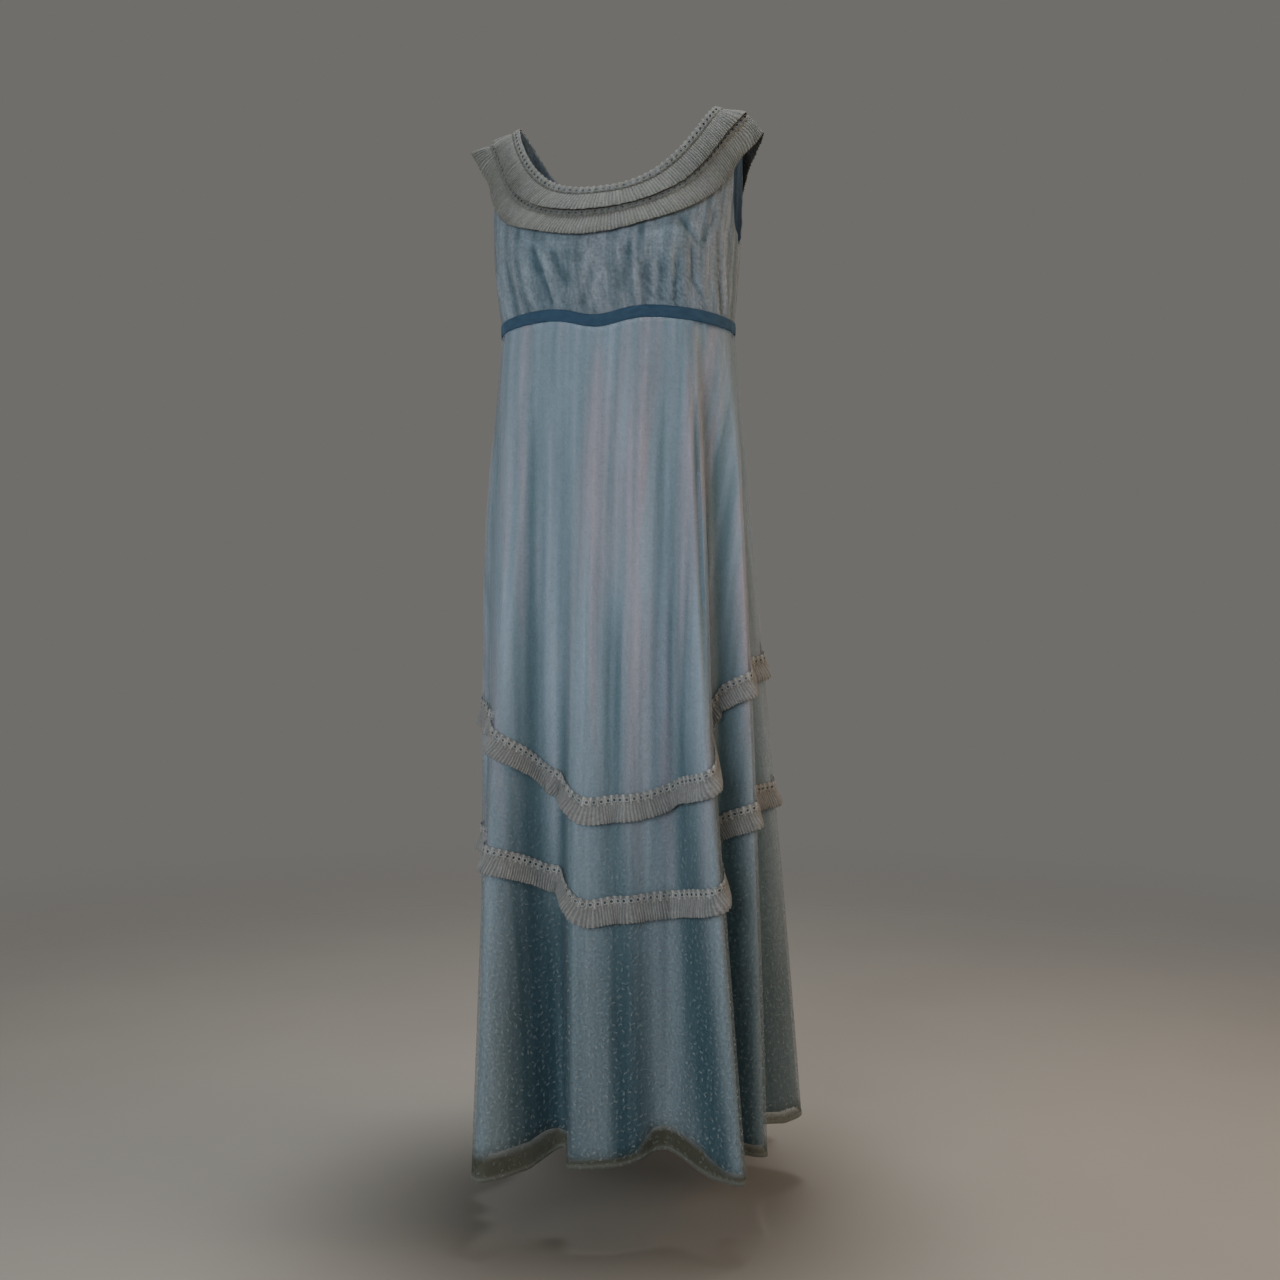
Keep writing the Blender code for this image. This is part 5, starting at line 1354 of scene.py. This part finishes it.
def velvet_material():
    """Cut-pile velvet: very dark in the face, lighter at grazing angles, with the pile brushed in soft
    uneven patches and a tight selvedge along both edges."""
    material, tree, shader = new_material("velvet_ribbon", roughness=0.92, specular=0.12, sheen=0.7,
                                          sheen_roughness=0.35)
    shader.inputs["Sheen Tint"].default_value = VELVET_SHEEN
    place = cloth_place(tree)
    pile = noise(tree, place, PILE_CELL)
    brushed = calc(tree, "MULTIPLY", noise(tree, place, BRUSHED_CELL), 1 - PILE_SHARE)
    mixed = calc(tree, "ADD", brushed, calc(tree, "MULTIPLY", pile, PILE_SHARE))
    colour = blend_colours(tree, ramp(tree, mixed, *PILE_RANGE), VELVET_DEEP, VELVET_LIT)
    edge = ramp(tree, held_value(tree, "across"), *SELVEDGE, 0.0, 0.5)
    plug(tree, shader.inputs["Base Color"], blend_colours(tree, edge, colour, VELVET_DEEP))
    raise_by(tree, shader, pile, PILE_BUMP, strength=0.7)
    return material


ribbon = sheet_of("velvet_ribbon", ribbon_points, cloth_lengths(ribbon_points), velvet_material(),
                  [("across", np.abs(across))])
give_thickness(ribbon, RIBBON_THICK)
on_the_dress(ribbon, "ribbon")
flat, area = cut_size(ribbon_points)

# Neck trims: two rows of the same trim sewn round the neck, the upper over the lower's top edge. At the
# shoulders the lower row's ruffle reaches past the armhole and hangs free.
NeckRow = namedtuple("NeckRow", "name node start end seed stand")
NECK_ROWS = [NeckRow("neck_upper", "neck_trim_upper", 0.000, 0.042, 21, 0.0044),
             NeckRow("neck_lower", "neck_trim_lower", 0.038, 0.080, 22, 0.0056)]
# How steeply the trim hangs past the armhole, and how differently near the two shoulder seams
OVERHANG_DROOP = 0.75
DROOP_OVER = 0.030
TIP_COLUMNS = 6.0
LEFT_TIP_DROOP = 0.05
RIGHT_TIP_DROOP = 0.95
NECK_DEPTHS = 28
NECK_LACE_DYE_AND_SHADE = {**LACE_DYE_AND_SHADE, "Ridge": (0.25, 0.268, 0.252, 1.0), "Blush": (0.25, 0.257, 0.268, 1.0),
                 "Trough": (0.138, 0.153, 0.149, 1.0)}
NECK_LACE = lace_material("neck_eyelet_lace", NECK_LACE_DYE_AND_SHADE, "loop", *LOOP_RANGE)
NECK_RUFFLE = lace_material("neck_pleated_ruffle", NECK_LACE_DYE_AND_SHADE, "crest", *CREST_RANGE)

# The plain bodice parted for the zip, and the way down each of its columns
zipped = np.concatenate([part_for_zip(bodice_plain[:, :quarter], -1.0), bodice_plain[:, quarter:-quarter],
                         part_for_zip(bodice_plain[:, -quarter:], 1.0)], axis=1)
steps = np.linalg.norm(np.diff(zipped, axis=0), axis=-1)
reach = np.concatenate([np.zeros((1, zipped.shape[1])), np.cumsum(steps, axis=0)])
columns = np.arange(zipped.shape[1])
droop = np.full(len(columns), OVERHANG_DROOP)
for shoulder, at_tip in ((quarter, LEFT_TIP_DROOP), (3 * quarter, RIGHT_TIP_DROOP)):
    near = np.clip(1 - np.abs(columns - shoulder) / (TIP_COLUMNS * BODICE_FINE), 0.0, 1.0)
    droop += (at_tip - OVERHANG_DROOP) * near


def down_columns(distance):
    """Points and normals at a distance down every column of the bodice. Past the panel's edge they go on
    in the column's last direction, drooping more the further they hang."""
    at = np.minimum(distance, reach[-1])
    row = np.clip((reach <= at).sum(axis=0) - 1, 0, len(reach) - 2)
    share = ((at - reach[row, columns]) / (reach[row + 1, columns] - reach[row, columns]))[:, None]
    point = zipped[row, columns] * (1 - share) + zipped[row + 1, columns] * share
    normal = bodice_out[row, columns] * (1 - share) + bodice_out[row + 1, columns] * share
    normal /= np.linalg.norm(normal, axis=-1, keepdims=True)
    beyond = distance - at
    ahead = zipped[-1] - zipped[-2]
    ahead /= np.linalg.norm(ahead, axis=-1, keepdims=True)
    ahead[:, 2] -= droop * np.minimum(1.0, beyond / DROOP_OVER)
    ahead /= np.linalg.norm(ahead, axis=-1, keepdims=True)
    return point + ahead * beyond[:, None], normal


def neck_surface(start, end):
    """The bodice under a neck row, as a function of the way along its upper edge and the way down the
    trim, read between a table of places down the columns. Returns it and the edge's length."""
    table = [down_columns(start + (end - start) * k / (NECK_DEPTHS - 1)) for k in range(NECK_DEPTHS)]
    place = np.stack([row[0] for row in table])
    out = np.stack([row[1] for row in table])
    length = lengths_along(place[0])

    def surface(along, down):
        column = np.interp(along, length, columns)
        left = np.minimum(column.astype(int), len(columns) - 2)
        u = (column - left)[..., None]
        deep = np.clip(down / (end - start), 0.0, 1.0) * (NECK_DEPTHS - 1)
        top = np.minimum(deep.astype(int), NECK_DEPTHS - 2)
        v = (deep - top)[..., None]
        point, normal = [(field[top, left] * (1 - u) + field[top, left + 1] * u) * (1 - v)
                         + (field[top + 1, left] * (1 - u) + field[top + 1, left + 1] * u) * v
                         for field in (place, out)]
        spare = (down - np.clip(down, 0.0, end - start))[..., None]
        step = place[top + 1, left] - place[top, left]
        step /= np.linalg.norm(step, axis=-1, keepdims=True)
        return point + step * spare, normal / np.linalg.norm(normal, axis=-1, keepdims=True)

    return surface, length[-1]


for row in NECK_ROWS:
    surface, length = neck_surface(row.start, row.end)
    heading = heading_of(f"{row.name}_heading", surface, length, NECK_LACE, closed=False)
    ruffle, (flat, area) = ruffle_of(f"{row.name}_ruffle", surface, length, row.end - row.start, row.stand,
                                     row.seed, NECK_RUFFLE, closed=False)
    give_thickness(heading, HEADING_THICK)
    give_thickness(ruffle, PLEAT_THICK)
    on_the_dress(heading, row.node)
    on_the_dress(ruffle, row.node)

# Centre-back zip: a woven tape sewn in behind the opening carries two rows of small moulded teeth that
# mesh along the centre back. The metal slider at the top and its pull tab keep their solids' shapes.
TAPE_HALF = 0.011
TAPE_IN = 0.0021
TAPE_THICK = 0.0006
TAPE_SHORT = 0.0006
TAPE_ROWS = 90
TAPE_COLUMNS = 15
TAPE_WAVE = 0.0002
TAPE_WAVES = 6.0
TAPE_THREAD = 0.0005
TAPE_BUMP = 0.0002
TOOTH_PITCH = 0.0022
TOOTH_WIDE = 0.0019
TOOTH_TALL = 0.0010
TOOTH_DEEP = 0.0013
CHAIN_IN = 0.0017
CHAIN_SHORT = 0.012
CHAIN_GAP = 0.0006
TOOTH_ASIDE = 0.0002
SLIDER_Z = -0.1245
SLIDER_LONG = 0.0105
RIGHTWARD = np.array([1.0, 0.0, 0.0])
SKIRT_FROM, SKIRT_TO = -0.002, -0.200
SKIRT_STEPS = 60

# The centre back from the neck edge down, the skirt's part from 2 to 200 mm below the empire seam
below_seam = ribbon_height(np.array([-180.0])) + np.linspace(SKIRT_FROM, SKIRT_TO, SKIRT_STEPS)
line = np.concatenate([bodice_plain[:, 0],
                       skirt_point(np.full(len(below_seam), -180.0), below_seam, fine=False)])
line[:, 0] = 0.0


def down_the_back(heights, inward):
    """Points of the centre-back line at heights, moved inward square to it, and the outward direction."""
    y = np.interp(-heights, -line[:, 2], line[:, 1])
    slope = np.interp(-heights, -line[:, 2], np.gradient(line[:, 1]) / np.gradient(line[:, 2]))
    outward = np.stack([np.zeros_like(y), np.ones_like(y), -slope], axis=-1)
    outward /= np.linalg.norm(outward, axis=-1, keepdims=True)
    return np.stack([np.zeros_like(y), y, heights], axis=-1) - outward * inward, outward


tape_heights = np.linspace(line[0, 2] - TAPE_SHORT, ZIP_END_Z, TAPE_ROWS)
tape_middle, tape_out = down_the_back(tape_heights, TAPE_IN)
tape_across = np.linspace(1.0, -1.0, TAPE_COLUMNS)[:, None]
tape_points = tape_middle[:, None] + TAPE_HALF * tape_across * RIGHTWARD
tape_points += TAPE_WAVE * np.abs(np.sin(TAPE_WAVES * tape_across)) * tape_out[:, None]
# Tape colours: the threads' tops are painted light and the hollows between them painted shade
TAPE_DYE_AND_SHADE = {"Ridge": (0.30, 0.40, 0.48, 1.0), "Blush": (0.28, 0.38, 0.47, 1.0),
            "Trough": (0.18, 0.27, 0.34, 1.0), "Down": 0.0, "Mottle": 0.15}
material, tree, shader = new_material("zip_tape_cloth", roughness=0.8, specular=0.3)
place = cloth_place(tree)
woven = place_group(tree, WEAVE, {"Place": place, "Thread": TAPE_THREAD})
dyed_and_shaded = place_group(tree, DYE_AND_SHADE, {**TAPE_DYE_AND_SHADE, "Painted Shade": woven["Height"], "Place": place})
plug(tree, shader.inputs["Base Color"], dyed_and_shaded["Colour"])
raise_by(tree, shader, woven["Height"], TAPE_BUMP, strength=0.8)
tape = sheet_of("zip_tape_cloth", tape_points, cloth_lengths(tape_points), material)
give_thickness(tape, TAPE_THICK)
on_the_dress(tape, "zip_tape")
flat, area = cut_size(tape_points)

SCRATCH_CELL = (0.0006, 0.0006, 0.004)
WORN_CELL = (0.004, 0.004, 0.004)
SCRATCH_BUMP = 0.00005
WORN_RANGE = (0.3, 0.7)
HOLLOW_ROUGH = 0.10
WORN_SMOOTH = 0.15
NICKEL_LIGHT = (0.62, 0.61, 0.58, 1.0)
NICKEL_DULL = (0.38, 0.37, 0.35, 1.0)


def metal_material(name, light, dark, roughness):
    """Plated metal with fine scratches, rubbed light and smooth in some places and dark and duller in
    others."""
    material, tree, shader = new_material(name, roughness, specular=0.5, metallic=1.0)
    spot = tree.nodes.new("ShaderNodeTexCoord").outputs["Object"]
    fine = noise(tree, spot, SCRATCH_CELL, detail=3.0)
    both = calc(tree, "ADD", fine, noise(tree, spot, WORN_CELL))
    worn = ramp(tree, calc(tree, "MULTIPLY", both, 0.5), *WORN_RANGE)
    plug(tree, shader.inputs["Base Color"], blend_colours(tree, worn, dark, light))
    rubbed = calc(tree, "MULTIPLY_ADD", worn, -WORN_SMOOTH, roughness + HOLLOW_ROUGH)
    plug(tree, shader.inputs["Roughness"], rubbed)
    raise_by(tree, shader, fine, SCRATCH_BUMP, strength=0.4)
    return material


# A tooth's corners: six round its outline on its upper face, and the same six on its lower face
TOOTH_OUTLINE = [(-1, 0), (1, 0), (1, 0.7), (0.6, 1), (-0.6, 1), (-1, 0.7)]
TOOTH_BLOCK = np.array([(*corner, face) for face in (-0.5, 0.5) for corner in TOOTH_OUTLINE])
TOOTH_FACES = [[0, 1, 7, 6], [1, 2, 8, 7], [2, 3, 9, 8], [3, 4, 10, 9], [4, 5, 11, 10], [5, 0, 6, 11],
               [0, 5, 2, 1], [5, 4, 3, 2], [6, 7, 8, 11], [11, 8, 9, 10]]
chain_top = SLIDER_Z - SLIDER_LONG / 2 - CHAIN_GAP
tooth_heights = np.arange(chain_top - TOOTH_TALL / 2, ZIP_END_Z + CHAIN_SHORT, -TOOTH_PITCH / 2)
tooth_middle, tooth_out = down_the_back(tooth_heights, CHAIN_IN)
hand = np.where(np.arange(len(tooth_heights)) % 2 == 0, 1.0, -1.0)
block = TOOTH_BLOCK * [TOOTH_WIDE / 2, TOOTH_DEEP, TOOTH_TALL]
below = np.cross(tooth_out, RIGHTWARD)
teeth = (tooth_middle[:, None] + block[:, 0:1] * RIGHTWARD + block[:, 1:2] * tooth_out[:, None]
         + block[:, 2:3] * below[:, None])
teeth[..., 0] += TOOTH_ASIDE * hand[:, None]
faces = (np.array(TOOTH_FACES) + np.arange(len(teeth))[:, None, None] * len(block)).reshape(-1, 4)
nickel = metal_material("nickel", NICKEL_LIGHT, NICKEL_DULL, roughness=0.28)
chain = quad_mesh("zip_teeth", teeth.reshape(-1, 3), faces, np.zeros((faces.size, 2)), nickel)
chain.data.shade_flat()
on_the_dress(chain, "zip_chain")
for node in ("zip_slider", "zip_pull_tab"):
    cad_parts[node].data.materials.clear()
    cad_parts[node].data.materials.append(nickel)

# Floor, light and camera: a pale matt studio floor with a painted shadow under the dress, that fades into
# the pale grey background. The light is soft and mostly from the front and above, and the camera is level,
# a little to the dress's left, as in the photograph.
FLOOR_Z = -1.50
FLOOR_GREY = (0.40, 0.385, 0.36, 1.0)
FLOOR_DULL = (0.36, 0.35, 0.325, 1.0)
FLOOR_PAINTED_SHADOW = (0.185, 0.18, 0.165, 1.0)
FLOOR_SHADOW_REACH = (0.12, 0.58)
FLOOR_FADE = (0.7, 3.6)
SPECK_CELL = (0.3, 0.3, 0.3)
FLOOR_RINGS = np.array([0.6, 1.2, 2.0, 3.0, 4.3])[:, None]
FLOOR_SIDES = 64
material, tree, shader = new_material("studio_floor", roughness=0.9, specular=0.2)
spot = tree.nodes.new("ShaderNodeTexCoord").outputs["Object"]
speck = noise(tree, spot, SPECK_CELL)
away = move(tree, "LENGTH", move(tree, "MULTIPLY", spot, (1.0, 1.0, 0.0)))
greyed = blend_colours(tree, speck, FLOOR_DULL, FLOOR_GREY)
# A painted shadow: the floor's colour goes to the dark colour near the middle, under the dress
under = ramp(tree, away, *FLOOR_SHADOW_REACH, 1.0, 0.0)
plug(tree, shader.inputs["Base Color"], blend_colours(tree, under, greyed, FLOOR_PAINTED_SHADOW))
plug(tree, shader.inputs["Alpha"], ramp(tree, away, *FLOOR_FADE, 1.0, 0.0))
turn = np.linspace(0.0, 2 * np.pi, FLOOR_SIDES + 1)[:-1]
across = FLOOR_RINGS * np.cos(turn)
disc = np.stack([across, FLOOR_RINGS * np.sin(turn), np.full_like(across, FLOOR_Z)], axis=-1)
fan = [(0, 1 + side, 1 + (side + 1) % FLOOR_SIDES) for side in range(FLOOR_SIDES)]
quads = (1 + grid_quads(len(FLOOR_RINGS), FLOOR_SIDES, closed=True)).tolist()
mesh = bpy.data.meshes.new("floor")
mesh.from_pydata([(0.0, 0.0, FLOOR_Z)] + disc.reshape(-1, 3).tolist(), [], fan + quads)
mesh.materials.append(material)
floor = bpy.data.objects.new("floor", mesh)
bpy.context.scene.collection.objects.link(floor)

BACKGROUND = (0.605, 0.585, 0.545, 1.0)
BACKGROUND_STRENGTH = 0.27
world = bpy.data.worlds.new("studio")
world.use_nodes = True
world.node_tree.nodes["Background"].inputs["Color"].default_value = BACKGROUND
world.node_tree.nodes["Background"].inputs["Strength"].default_value = BACKGROUND_STRENGTH
bpy.context.scene.world = world

Light = namedtuple("Light", "name place aim size power colour")
LIGHTS = [Light("key", (-0.36, -2.5, -0.30), (0.0, 0.0, -0.68), 1.5, 30.8, (1.0, 0.99, 0.97)),
          Light("overhead", (0.10, 0.05, 1.4), (0.0, 0.05, -1.0), 0.6, 27.0, (1.0, 1.0, 1.0)),
          Light("right", (2.0, 0.25, -0.05), (0.0, 0.1, -0.8), 1.6, 19.0, (1.0, 0.68, 0.42)),
          Light("left", (-2.0, -0.5, 0.45), (0.0, 0.0, -0.1), 0.9, 3.6, (1.0, 0.97, 0.90)),
          Light("behind", (-0.6, 2.6, 0.6), (0.0, 0.0, -0.6), 1.6, 7.0, (1.0, 1.0, 1.0))]
for light in LIGHTS:
    lamp = bpy.data.lights.new(light.name, "AREA")
    lamp.shape = "DISK"
    lamp.size = light.size
    lamp.energy = light.power
    lamp.color = light.colour
    holder = bpy.data.objects.new(light.name, lamp)
    bpy.context.scene.collection.objects.link(holder)
    holder.location = light.place
    facing = Vector(light.aim) - Vector(light.place)
    holder.rotation_euler = facing.to_track_quat("-Z", "Y").to_euler()

CAMERA_TURN = math.radians(17.0)
CAMERA_AWAY = 1.89
CAMERA_Z = -0.718
FOCAL_PIXELS = 1374.0
PHOTO_PIXELS = 1280.0
AXIS_PIXEL = 617.0
SENSOR = 36.0
right = np.array([math.cos(CAMERA_TURN), math.sin(CAMERA_TURN), 0.0])
forward = np.array([-math.sin(CAMERA_TURN), math.cos(CAMERA_TURN), 0.0])
place = -forward * CAMERA_AWAY + right * (PHOTO_PIXELS / 2 - AXIS_PIXEL) / FOCAL_PIXELS * CAMERA_AWAY
camera = bpy.data.objects.new("camera", bpy.data.cameras.new("camera"))
bpy.context.scene.collection.objects.link(camera)
camera.data.sensor_width = SENSOR
camera.data.lens = SENSOR * FOCAL_PIXELS / PHOTO_PIXELS
camera.location = (place[0], place[1], CAMERA_Z)
camera.rotation_euler = (math.radians(90.0), 0.0, CAMERA_TURN)
bpy.context.scene.camera = camera
